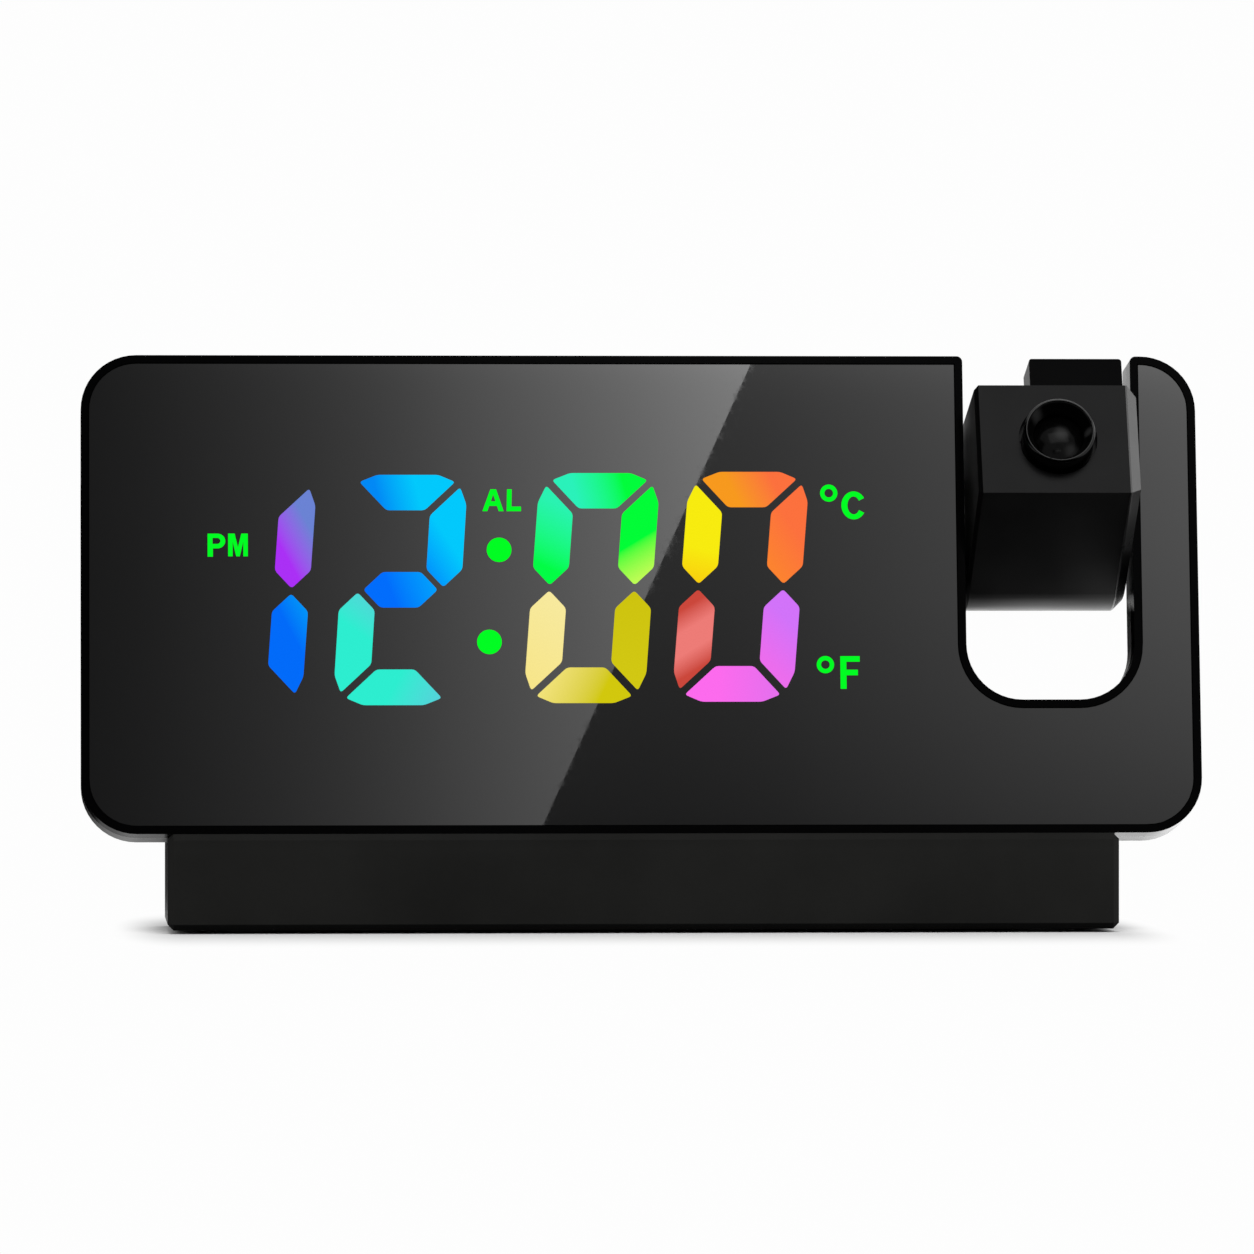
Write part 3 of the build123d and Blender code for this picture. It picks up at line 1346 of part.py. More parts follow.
def main():
    os.makedirs("parts", exist_ok=True)
    groups = [(ON_PANEL, case_nodes()), (Pos(0, 0, 0), base_nodes()), (ON_ARM, arm_nodes())]
    for place, nodes in groups:
        for name, shape in nodes.items():
            export_step(placed(place, shape), f"parts/{name}.step")


main()
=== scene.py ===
import json
from math import cos, pi, radians, sin, tan

import bmesh
import bpy
from mathutils import Matrix, Vector


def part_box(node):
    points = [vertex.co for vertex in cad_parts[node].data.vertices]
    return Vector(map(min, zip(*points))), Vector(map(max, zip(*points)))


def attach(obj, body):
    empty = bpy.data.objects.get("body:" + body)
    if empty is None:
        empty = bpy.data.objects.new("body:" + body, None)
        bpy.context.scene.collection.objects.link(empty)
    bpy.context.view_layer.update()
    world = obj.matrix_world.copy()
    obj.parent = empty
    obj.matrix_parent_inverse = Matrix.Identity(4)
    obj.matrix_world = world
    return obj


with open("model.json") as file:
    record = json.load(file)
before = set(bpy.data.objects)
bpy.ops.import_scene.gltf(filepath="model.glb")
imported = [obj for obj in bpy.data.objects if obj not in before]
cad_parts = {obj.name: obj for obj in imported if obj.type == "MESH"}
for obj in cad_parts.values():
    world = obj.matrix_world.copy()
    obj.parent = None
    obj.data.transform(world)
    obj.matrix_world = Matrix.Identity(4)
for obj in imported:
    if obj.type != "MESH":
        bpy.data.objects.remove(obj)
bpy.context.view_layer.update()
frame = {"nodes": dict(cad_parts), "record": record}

# Looks of the projection alarm clock. Sizes of the clock are in millimetres, as in the part's
# source, and MM turns them into metres. Sizes and places of the stage are in metres.
MM = 0.001

# The panel's frame: X to the right, Y up along the panel, Z out of its face. Its origin is the
# middle of the panel's lower front edge. Along Z, the mirror's face is at MIRROR_FRONT and the back
# of the housing's deeper middle at HOUSING_BACK.
PANEL_FOOT = Vector((0.0, -12.831, 16.8)) * MM
PANEL_LEAN = 9.0
PANEL = Matrix.Translation(PANEL_FOOT) @ Matrix.Rotation(radians(90.0 - PANEL_LEAN), 4, "X")
PANEL_OUT = (PANEL.to_3x3() @ Vector((0.0, 0.0, 1.0))).normalized()
MIRROR_FRONT = -0.2
HOUSING_BACK = -22.5

# The lens's axis passes through the arm's swivel, along the way that the lens slides to focus.
JOINTS = {joint["name"]: joint for joint in frame["record"]["behaviour"]["joints"]}
LENS_POINT = Vector(JOINTS["projector_swivel"]["pos_m"])
LENS_AXIS = Vector(JOINTS["focus_slide"]["axis"])
LENS_RIGHT = Vector((1.0, 0.0, 0.0))
LENS_UP = LENS_AXIS.cross(LENS_RIGHT)

# Digits. DIGIT_CORNER is how far the cut of an outer corner reaches along the edge, CORNER_CUT the
# share of it by which the corner itself is drawn in, and SEGMENT_ROUND the rounding of a segment's
# own corners. Each digit has its middle on the panel and its lean to the right in degrees.
DIGIT_HALF_WIDTH = 10.27
DIGIT_HALF_HEIGHT = 19.75
DIGIT_STROKE = 6.1
DIGIT_GAP = 1.3
DIGIT_CORNER = 5.1
CORNER_CUT = 0.24
SEGMENT_ROUND = 0.55
DIGITS = {
    "hour_tens": ((-66.62, 41.48), 4.2),
    "hour_ones": ((-40.91, 41.69), 3.85),
    "minute_tens": ((-8.42, 42.02), 4.6),
    "minute_ones": ((16.9, 42.24), 5.0),
}

# Colon and legends: each capital has its middle and its size, each degree sign its middle.
COLON_RADIUS = 2.1
COLON_PLACES = {"glow_colon_upper": (-24.15, 48.55), "glow_colon_lower": (-25.9, 32.75)}
LEGENDS = {
    "afternoon_p": ("P", (-72.05, 49.34), (3.0, 3.95)),
    "afternoon_m": ("M", (-68.41, 49.38), (3.34, 3.9)),
    "alarm_a": ("A", (-25.13, 57.08), (3.6, 3.77)),
    "alarm_l": ("L", (-21.6, 57.08), (2.45, 3.77)),
    "celsius_c": ("C", (36.3, 56.22), (4.2, 4.83)),
    "fahrenheit_f": ("F", (35.32, 27.48), (3.3, 5.6)),
}
DEGREES = {"celsius_degree": (32.07, 58.33), "fahrenheit_degree": (31.13, 28.83)}
DEGREE_RADIUS = 1.48
DEGREE_STROKE = 0.74

# Lit windows and printed marks are thin plates, sunk a little into the face that carries them.
# The marks stand at the height MARK_UP along the panel.
GLOW_THICKNESS = 0.05
MARK_THICKNESS = 0.02
PLATE_SINK = 0.01
MARK_UP = 66.2

# The lit segments: their colours from first to last, as a screen shows them from 0 to 255, the way
# in which the colours follow each other, and the share of that way in which they change.
GREEN = (0, 255, 35)
EVEN_REACH = (0.08, 0.92)
LIT = {
    "hour_tens": {
        "upper_right": (((172, 48, 248), (108, 132, 214)), (0.6, 0.8), (0.3, 0.72)),
        "lower_right": (((0, 108, 252), (0, 158, 250)), (0.6, 0.8), (0.6, 0.98)),
    },
    "hour_ones": {
        "top": (((0, 138, 248), (0, 203, 255)), (1.0, 0.1), (0.2, 0.6)),
        "upper_right": (((0, 148, 255), (0, 203, 255)), (0.5, 0.8), (0.1, 0.5)),
        "middle": (((0, 110, 255), (0, 160, 255)), (1.0, 0.2), (0.38, 0.9)),
        "lower_left": (((45, 240, 210), (82, 216, 218)), (0.3, 1.0), (0.6, 0.95)),
        "bottom": (((45, 240, 210), (84, 214, 220)), (1.0, -0.2), (0.5, 0.95)),
    },
    "minute_tens": {
        "top": (((42, 244, 188), (0, 255, 60)), (1.0, 0.1), (0.25, 0.75)),
        "upper_left": (((0, 255, 70), (42, 245, 180)), (0.2, 1.0), (0.2, 0.8)),
        "upper_right": (((190, 255, 85), (0, 255, 55)), (-0.25, 1.0), (0.14, 0.46)),
        "lower_left": (((250, 232, 140), (250, 236, 160)), (0.3, 1.0), EVEN_REACH),
        "lower_right": (((212, 202, 18), (208, 198, 14)), (0.0, 1.0), EVEN_REACH),
        "bottom": (((246, 230, 125), (212, 202, 12)), (1.0, -0.2), (0.12, 0.7)),
    },
    "minute_ones": {
        "top": (((250, 155, 30), (255, 114, 62)), (1.0, 0.2), (0.35, 0.75)),
        "upper_left": (((252, 205, 12), (250, 238, 14)), (0.1, 1.0), (0.0, 0.36)),
        "upper_right": (((255, 132, 48), (255, 114, 62)), (0.5, 0.8), (0.15, 0.6)),
        "lower_left": (
            ((205, 72, 60), (240, 125, 120), (240, 125, 120), (205, 72, 60)),
            (-0.25, 1.0),
            (0.24, 0.8),
        ),
        "lower_right": (((238, 110, 240), (212, 116, 252)), (0.4, 1.0), (0.25, 0.7)),
        "bottom": (((255, 108, 240), (234, 112, 240)), (1.0, 0.0), (0.35, 0.9)),
    },
}

# Widths of the small bevels on the nodes' sharp edges
EDGES = {
    "front_frame": 0.35,
    "mirror_panel": 0.25,
    "rear_cover": 0.25,
    "base_shell": 0.12,
    "arm_housing": 0.15,
    "arm_cover": 0.15,
    "lens_barrel": 0.12,
    "battery_door": 0.15,
    "snooze_bar": 0.1,
    "power_inlet": 0.1,
    "usb_outlet": 0.1,
}
EDGE_SEGMENTS = 2
WELD_REACH = 0.002
SHARP_ANGLE = 32.0

# Painted shade on the bevel round the base's lower edge, which faces down: its height, half the
# height over which the painted shade begins, and the share of the base's colour that it keeps.
BASE_BEVEL = 1.0
BASE_BEVEL_BLUR = 0.1
BASE_BEVEL_PAINTED_SHADE = 0.15

# Usual spread of a noise texture's values
NOISE_SPREAD = (0.3, 0.7)

# Camera, with its focal length and its sensor's width in millimetres
EYE = Vector((-0.100, -1.600, 0.060))
LOOK_AT = Vector((-0.0021, 0.0, 0.0516))
FOCAL_LENGTH = 270.2
SENSOR = 36.0
CLIP = (0.05, 50.0)

# Two light cards behind the camera, seen only in the mirror. They meet at an edge that crosses the
# mirror from EDGE_LOW to EDGE_HIGH. Each has one curve of levels across the mirror and one up it,
# where 0 to 1 is MIRROR_SPAN millimetres.
CARD_DISTANCE = 2.1
EDGE_LOW = (-17.1, 1.35)
EDGE_HIGH = (19.05, 80.7)
CARD_LEFT = -150.0
CARD_RIGHT = 130.0
CARD_HEIGHTS = (-25.0, 110.0)
CARD_COLUMNS = 24
CARD_ROWS = 12
CARD_STRENGTH = 8.0
MIRROR_SPAN = (200.0, 100.0)
LEFT_ACROSS = [(0.0, 0.018), (0.1, 0.042), (0.25, 0.115), (0.36, 0.225), (0.47, 0.37), (0.6, 0.62)]
LEFT_UP = [(0.0, 0.7), (0.4, 0.85), (0.75, 1.0), (0.83, 1.25)]
RIGHT_ACROSS = [(0.4, 0.07), (0.58, 0.09), (0.68, 0.13), (0.78, 0.18), (1.0, 0.29)]
RIGHT_UP = [(0.0, 0.35), (0.4, 0.75), (0.7, 1.0), (0.83, 1.5)]

# Plain cards, seen only in reflections: middle, the point that they face, width, height, strength.
# A flag is a black one, which keeps the white surroundings out of a dark surface.
PLAIN_CARDS = {
    "right softbox": ((1.1, 0.42, 0.45), (0.05, 0.0, 0.06), 0.5, 0.5, 2.6),
    "high softbox": ((0.19, -0.73, 1.0), (0.07, 0.0, 0.07), 0.8, 0.5, 3.3),
    "left flag": ((-0.8, -0.2, 0.3), (0.0, 0.0, 0.05), 1.6, 1.2, 0.0),
    "flag behind": ((-0.02, 0.5, -0.05), (-0.02, 0.0, -0.05), 0.5, 0.262, 0.0),
}

# The same, lying level just above the floor and facing up: middle, width, depth, strength
LYING_CARDS = {
    "low back card": ((-0.14, 0.3, 0.002), 0.28, 0.52, 0.3),
    "low right card": ((0.11, 0.16, 0.002), 0.08, 0.26, 1.9),
    "low right flag": ((0.24, 0.2, 0.002), 0.18, 0.24, 0.0),
    "low left flag": ((-0.12, 0.33, 0.003), 0.16, 0.5, 0.0),
    "flag below": ((0.0, -0.17, 0.014), 0.4, 0.3, 0.0),
}

# Soft lamps turned towards the clock: place, width, height, power in watts
LAMPS = {
    "key": ((0.1, -1.1, 1.6), 1.6, 1.0, 21.0),
    "back": ((0.4, 1.2, 1.5), 1.2, 0.8, 8.0),
}

# Floor and surroundings. Over the distances FLOOR_FADE from a rectangle a little inside the base's
# footprint, the shaded floor turns into the plain white of the surroundings. FLOOR_STRETCH
# multiplies those distances, so that the floor turns white sooner to the sides.
FLOOR_RADIUS = 8.0
FLOOR_SIDES = 96
FLOOR_TONE = 0.80
FLOOR_GRAIN = 0.01
FLOOR_FADE = (0.0, 0.065)
FLOOR_STRETCH = (5.5, 1.0, 1.0)
FOOT_MIDDLE = (0.0, 0.004, 0.0)
FOOT_HALF = (0.078, 0.017, 0.0)
SOFT_LIGHT = 0.55
WHITE = 0.985


# ---------------------------------------------------------------- colours and nodes


def linear(value):
    """A screen value from 0 to 255 as linear light."""
    share = value / 255.0
    return share / 12.92 if share <= 0.04045 else ((share + 0.055) / 1.055) ** 2.4


def tint(rgb):
    """A screen colour as a linear one with full alpha."""
    return (*[linear(value) for value in rgb], 1.0)


def shade(tone, share=1.0):
    """A linear colour with full alpha, darkened or lightened by a share."""
    return (*[value * share for value in tone], 1.0)


def grey(value):
    """A linear grey with full alpha."""
    return (value, value, value, 1.0)


def put(tree, kind, **values):
    """A new node; each value goes to the property or the input of that name."""
    made = tree.nodes.new(kind)
    for name, value in values.items():
        if hasattr(made, name):
            setattr(made, name, value)
        else:
            made.inputs[name.replace("_", " ")].default_value = value
    return made


def join(tree, source, outlet, target, inlet):
    """Links an output of one node to an input of another."""
    tree.links.new(source.outputs[outlet], target.inputs[inlet])


def fresh(name):
    """A new material with its tree, its shader and its coordinates."""
    material = bpy.data.materials.new(name)
    material.use_nodes = True
    tree = material.node_tree
    shader = tree.nodes["Principled BSDF"]
    place = put(tree, "ShaderNodeTexCoord")
    return material, tree, shader, place


def bare(name):
    """A new material with an empty tree."""
    material = bpy.data.materials.new(name)
    material.use_nodes = True
    material.node_tree.nodes.clear()
    return material, material.node_tree


def surface(tree, source, outlet):
    """Ends a material's tree with what its surface shows."""
    output = put(tree, "ShaderNodeOutputMaterial")
    join(tree, source, outlet, output, "Surface")


def noise(tree, place, scale, detail, outlet="Object"):
    """Noise over the clock, with scale in waves per metre, or over a piece's own box."""
    made = put(tree, "ShaderNodeTexNoise", Scale=scale, Detail=detail)
    join(tree, place, outlet, made, "Vector")
    return made


def ranged(tree, source, outlet, low, high, spread=NOISE_SPREAD):
    """The source's value, taken from its own spread to another."""
    made = put(tree, "ShaderNodeMapRange")
    made.inputs["From Min"].default_value = spread[0]
    made.inputs["From Max"].default_value = spread[1]
    made.inputs["To Min"].default_value = low
    made.inputs["To Max"].default_value = high
    join(tree, source, outlet, made, "Value")
    return made


def ramp(tree, source, outlet, stops):
    """A colour ramp with a stop at each place."""
    made = put(tree, "ShaderNodeValToRGB")
    marks = made.color_ramp.elements
    while len(marks) < len(stops):
        marks.new(0.5)
    for mark, (place, colour) in zip(marks, stops):
        mark.position = place
        mark.color = colour
    join(tree, source, outlet, made, "Fac")
    return made


def vector_step(tree, operation, source, outlet, value=None):
    """A vector operation on the source, with a second vector where it takes one."""
    made = put(tree, "ShaderNodeVectorMath", operation=operation)
    join(tree, source, outlet, made, 0)
    if value is not None:
        made.inputs[1].default_value = value
    return made


def combined(tree, operation, *terms):
    """An operation on terms that are each a number, or a node with the name of its output."""
    made = put(tree, "ShaderNodeMath", operation=operation)
    for index, term in enumerate(terms):
        if isinstance(term, tuple):
            join(tree, *term, made, index)
        else:
            made.inputs[index].default_value = term
    return made


def rough_between(tree, shader, source, outlet, low, high, spread=NOISE_SPREAD):
    """Roughness that varies with the source."""
    rougher = ranged(tree, source, outlet, low, high, spread)
    join(tree, rougher, "Result", shader, "Roughness")


def bumped(tree, shader, source, outlet, strength, depth):
    """Fine relief from the source; depth is in millimetres."""
    made = put(tree, "ShaderNodeBump", Strength=strength, Distance=depth * MM)
    join(tree, source, outlet, made, "Height")
    join(tree, made, "Normal", shader, "Normal")


def shiny(shader, metal=0.0, specular=0.5, coat=0.0):
    """The shader's own numbers, the same all over the surface."""
    shader.inputs["Metallic"].default_value = metal
    shader.inputs["Specular IOR Level"].default_value = specular
    shader.inputs["Coat Weight"].default_value = coat


# ---------------------------------------------------------------- finishes


def moulded(name, tone, rough, specular, grain=5200.0, depth=0.02):
    """Moulded plastic: fine spark grain, a faint cloudy change of tone, and soft handling marks."""
    material, tree, shader, place = fresh(name)
    clouds = noise(tree, place, scale=38.0, detail=5.0)
    colour = ramp(tree, clouds, "Fac", [(0.3, shade(tone, 0.82)), (0.72, shade(tone, 1.2))])
    join(tree, colour, "Color", shader, "Base Color")
    marks = noise(tree, place, scale=120.0, detail=3.0)
    rough_between(tree, shader, marks, "Fac", rough - 0.025, rough + 0.025)
    spark = noise(tree, place, scale=grain, detail=2.0)
    bumped(tree, shader, spark, "Fac", strength=0.25, depth=depth)
    shiny(shader, specular=specular)
    return material


def base_plastic(name, tone, rough, specular):
    """The base's moulded plastic, with painted shade darkening the bevel round its lower edge."""
    material = moulded(name, tone, rough, specular)
    tree = material.node_tree
    shader = tree.nodes["Principled BSDF"]
    colour = shader.inputs["Base Color"].links[0].from_node
    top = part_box("base_shell")[0].z + BASE_BEVEL * MM
    edge = (top - BASE_BEVEL_BLUR * MM, top + BASE_BEVEL_BLUR * MM)
    place = put(tree, "ShaderNodeTexCoord")
    axes = put(tree, "ShaderNodeSeparateXYZ")
    join(tree, place, "Object", axes, "Vector")
    # Painted shade: the colour is darkened below the top of the bevel, which faces down.
    share = ranged(tree, axes, "Z", BASE_BEVEL_PAINTED_SHADE, 1.0, edge)
    darker = vector_step(tree, "SCALE", colour, "Color")
    join(tree, share, "Result", darker, "Scale")
    join(tree, darker, "Vector", shader, "Base Color")
    return material


def polished(name, tone, rough, specular, ripple=90.0, depth=0.01):
    """Polished moulding or glass: a very slight ripple, with dust-fine changes of gloss."""
    material, tree, shader, place = fresh(name)
    clouds = noise(tree, place, scale=25.0, detail=3.0)
    colour = ramp(tree, clouds, "Fac", [(0.3, shade(tone, 0.9)), (0.7, shade(tone, 1.1))])
    join(tree, colour, "Color", shader, "Base Color")
    dust = noise(tree, place, scale=900.0, detail=8.0)
    rough_between(tree, shader, dust, "Fac", rough, rough + 0.02, (0.45, 0.8))
    wave = noise(tree, place, scale=ripple, detail=1.0)
    bumped(tree, shader, wave, "Fac", strength=0.05, depth=depth)
    shiny(shader, specular=specular)
    return material


def metal(name, tone, rough, stretch, grain):
    """Plated or brushed metal with drawn grain."""
    material, tree, shader, place = fresh(name)
    drawn = put(tree, "ShaderNodeMapping", Scale=stretch)
    join(tree, place, "Object", drawn, "Vector")
    lines = noise(tree, drawn, scale=grain, detail=6.0, outlet="Vector")
    colour = ramp(tree, lines, "Fac", [(0.3, shade(tone, 0.75)), (0.7, shade(tone))])
    join(tree, colour, "Color", shader, "Base Color")
    rough_between(tree, shader, lines, "Fac", rough - 0.08, rough + 0.12)
    bumped(tree, shader, lines, "Fac", strength=0.12, depth=0.01)
    shiny(shader, metal=1.0)
    return material


def rubber(name):
    """Matt black rubber with bloom and fine pores."""
    material, tree, shader, place = fresh(name)
    clouds = noise(tree, place, scale=160.0, detail=6.0)
    colour = ramp(tree, clouds, "Fac", [(0.35, grey(0.012)), (0.75, grey(0.028))])
    join(tree, colour, "Color", shader, "Base Color")
    pores = put(tree, "ShaderNodeTexVoronoi", Scale=2600.0)
    join(tree, place, "Object", pores, "Vector")
    bumped(tree, shader, pores, "Distance", strength=0.3, depth=0.05)
    rough_between(tree, shader, clouds, "Fac", 0.75, 0.95)
    shiny(shader, specular=0.2)
    return material


def board(name):
    """Circuit board: solder mask over copper runs, with bare pads."""
    pad = (0.72, 0.66, 0.5)
    mask = (0.006, 0.08, 0.03)
    run = (0.015, 0.17, 0.07)
    stops = [(0.0, pad), (0.10, pad), (0.12, mask), (0.38, mask), (0.42, run)]
    material, tree, shader, place = fresh(name)
    cells = put(tree, "ShaderNodeTexVoronoi", feature="F1", distance="CHEBYCHEV", Scale=420.0)
    join(tree, place, "Object", cells, "Vector")
    colour = ramp(tree, cells, "Distance", [(at, shade(tone)) for at, tone in stops])
    join(tree, colour, "Color", shader, "Base Color")
    bumped(tree, shader, cells, "Distance", strength=0.25, depth=0.04)
    flow = noise(tree, place, scale=300.0, detail=4.0)
    rough_between(tree, shader, flow, "Fac", 0.22, 0.4)
    return material


def milky(name):
    """Milky light guide with moulding haze inside."""
    material, tree, shader, place = fresh(name)
    haze = noise(tree, place, scale=260.0, detail=5.0)
    clear = shade((0.66, 0.72, 0.7))
    cloudy = shade((0.84, 0.88, 0.86))
    colour = ramp(tree, haze, "Fac", [(0.3, clear), (0.7, cloudy)])
    join(tree, colour, "Color", shader, "Base Color")
    shader.inputs["Subsurface Weight"].default_value = 0.3
    shader.inputs["Subsurface Scale"].default_value = 1.0 * MM
    rough_between(tree, shader, haze, "Fac", 0.25, 0.45)
    return material


def cell_skin(name):
    """Shrink sleeves of the two cells: dark, with a copper band at each one's raised end.

    The cells point opposite ways, so X is turned round for the one nearer the back."""
    sleeve = grey(0.02)
    band = shade((0.55, 0.26, 0.09))
    material, tree, shader, place = fresh(name)
    low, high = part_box("battery_cells")
    axes = put(tree, "ShaderNodeSeparateXYZ")
    join(tree, place, "Object", axes, "Vector")
    front = combined(tree, "LESS_THAN", (axes, "Y"), (low.y + high.y) / 2)
    way = ranged(tree, front, "Value", -1.0, 1.0, (0.0, 1.0))
    turned = combined(tree, "MULTIPLY", (axes, "X"), (way, "Result"))
    half = (high.x - low.x) / 2
    share = ranged(tree, turned, "Value", 0.0, 1.0, (-half, half))
    stops = [(0.0, grey(0.55)), (0.03, sleeve), (0.68, sleeve)]
    stops += [(0.70, band), (0.93, band), (0.95, grey(0.6))]
    colour = ramp(tree, share, "Result", stops)
    colour.color_ramp.interpolation = "CONSTANT"
    join(tree, colour, "Color", shader, "Base Color")
    scuffs = noise(tree, place, scale=320.0, detail=8.0)
    rough_between(tree, shader, scuffs, "Fac", 0.18, 0.38)
    bumped(tree, shader, scuffs, "Fac", strength=0.08, depth=0.03)
    shiny(shader, metal=0.4, coat=0.5)
    return material


def slide_glass(name):
    """The crystal slide's coated glass, dark from outside, with a violet bloom towards its rim."""
    material, tree, shader, place = fresh(name)
    edge = put(tree, "ShaderNodeLayerWeight", Blend=0.35)
    dark = shade((0.06, 0.09, 0.075))
    violet = shade((0.096, 0.09, 0.18))
    bloom = ramp(tree, edge, "Facing", [(0.0, dark), (0.6, violet)])
    join(tree, bloom, "Color", shader, "Base Color")
    dust = noise(tree, place, scale=1500.0, detail=8.0)
    rough_between(tree, shader, dust, "Fac", 0.02, 0.05, (0.5, 0.8))
    shiny(shader, specular=0.6, coat=0.4)
    return material


def off_axis(tree, place, point):
    """Distance from the line through a point along the lens's axis."""
    local = vector_step(tree, "SUBTRACT", place, "Object", point)
    across = vector_step(tree, "CROSS_PRODUCT", local, "Vector", LENS_AXIS)
    return vector_step(tree, "LENGTH", across, "Vector")


def painted_reflection_spot(tree, place, right, up, reach, level):
    """Painted reflection: a soft grey spot, as inner glasses throw one back, right and up of the axis."""
    middle = LENS_POINT + (LENS_RIGHT * right + LENS_UP * up) * MM
    spot = put(tree, "ShaderNodeMapRange", interpolation_type="SMOOTHERSTEP")
    spot.inputs["From Max"].default_value = reach * MM
    spot.inputs["To Min"].default_value = level
    spot.inputs["To Max"].default_value = 0.0
    join(tree, off_axis(tree, place, middle), "Value", spot, "Value")
    return spot


def barrel(name):
    """Polished tube, its mouth and bore nearer the axis than the rim matt black, with painted reflections.
    """
    rim_radii = (5.35 * MM, 5.5 * MM)
    material, tree, shader, place = fresh(name)
    radius = off_axis(tree, place, LENS_POINT)
    rim = ranged(tree, radius, "Value", 0.0, 1.0, rim_radii)
    dust = noise(tree, place, scale=900.0, detail=6.0)
    worn = ranged(tree, dust, "Fac", 0.34, 0.44)
    glossy = ranged(tree, dust, "Fac", 0.16, 0.22)
    rougher = put(tree, "ShaderNodeMix")
    join(tree, rim, "Result", rougher, "Factor")
    join(tree, worn, "Result", rougher, "A")
    join(tree, glossy, "Result", rougher, "B")
    join(tree, rougher, "Result", shader, "Roughness")
    # Painted reflections: two soft grey spots in the mouth's colour, standing in for light falling inside
    # it.
    left = painted_reflection_spot(tree, place, right=-3.7, up=3.2, reach=1.9, level=0.02)
    right = painted_reflection_spot(tree, place, right=4.9, up=0.2, reach=1.1, level=0.02)
    light = combined(tree, "ADD", (left, "Result"), (right, "Result"))
    mouth = combined(tree, "ADD", (light, "Value"), 0.0006)
    tone = put(tree, "ShaderNodeMix", data_type="RGBA")
    tone.inputs["B"].default_value = grey(0.022)
    join(tree, rim, "Result", tone, "Factor")
    join(tree, mouth, "Value", tone, "A")
    join(tree, tone, "Result", shader, "Base Color")
    bumped(tree, shader, dust, "Fac", strength=0.05, depth=0.01)
    shiny(shader, specular=0.04)
    join(tree, rim, "Result", shader, "Metallic")
    return material


def projector_lens(name):
    """Dark coated lens, with painted reflections of its inner glasses as two soft spots."""
    material, tree, shader, place = fresh(name)
    # Painted reflections: soft grey spots in the base colour, at the middle and to the lower right.
    centre = painted_reflection_spot(tree, place, right=0.5, up=0.8, reach=2.0, level=0.019)
    lower = painted_reflection_spot(tree, place, right=2.2, up=-2.5, reach=2.0, level=0.017)
    light = combined(tree, "ADD", (centre, "Result"), (lower, "Result"))
    dust = noise(tree, place, scale=1500.0, detail=8.0)
    haze = ranged(tree, dust, "Fac", 0.0004, 0.0016)
    tone = combined(tree, "ADD", (light, "Value"), (haze, "Result"))
    join(tree, tone, "Value", shader, "Base Color")
    rough_between(tree, shader, dust, "Fac", 0.14, 0.18, (0.5, 0.8))
    shiny(shader, specular=0.06)
    return material


def glowing(name, colours, way, reach):
    """A lit window seen through the mirror, whose colours follow each other along way.

    The change from the first colour to the last takes place within reach, as shares of the way."""
    material, tree, shader, place = fresh(name)
    across, up = Vector(way).normalized()
    along = vector_step(tree, "DOT_PRODUCT", place, "Generated", (across, up, 0.0))
    ends = (min(0.0, across) + min(0.0, up), max(0.0, across) + max(0.0, up))
    share = ranged(tree, along, "Value", 0.0, 1.0, ends)
    step = (reach[1] - reach[0]) / (len(colours) - 1)
    stops = [(reach[0] + i * step, tint(colour)) for i, colour in enumerate(colours)]
    blend = ramp(tree, share, "Result", stops)
    speckle = noise(tree, place, scale=60.0, detail=4.0, outlet="Generated")
    level = ranged(tree, speckle, "Fac", 0.95, 1.0)
    join(tree, blend, "Color", shader, "Emission Color")
    join(tree, level, "Result", shader, "Emission Strength")
    shader.inputs["Base Color"].default_value = grey(0.0006)
    rough_between(tree, shader, speckle, "Fac", 0.004, 0.02)
    shiny(shader, specular=0.0)
    return material


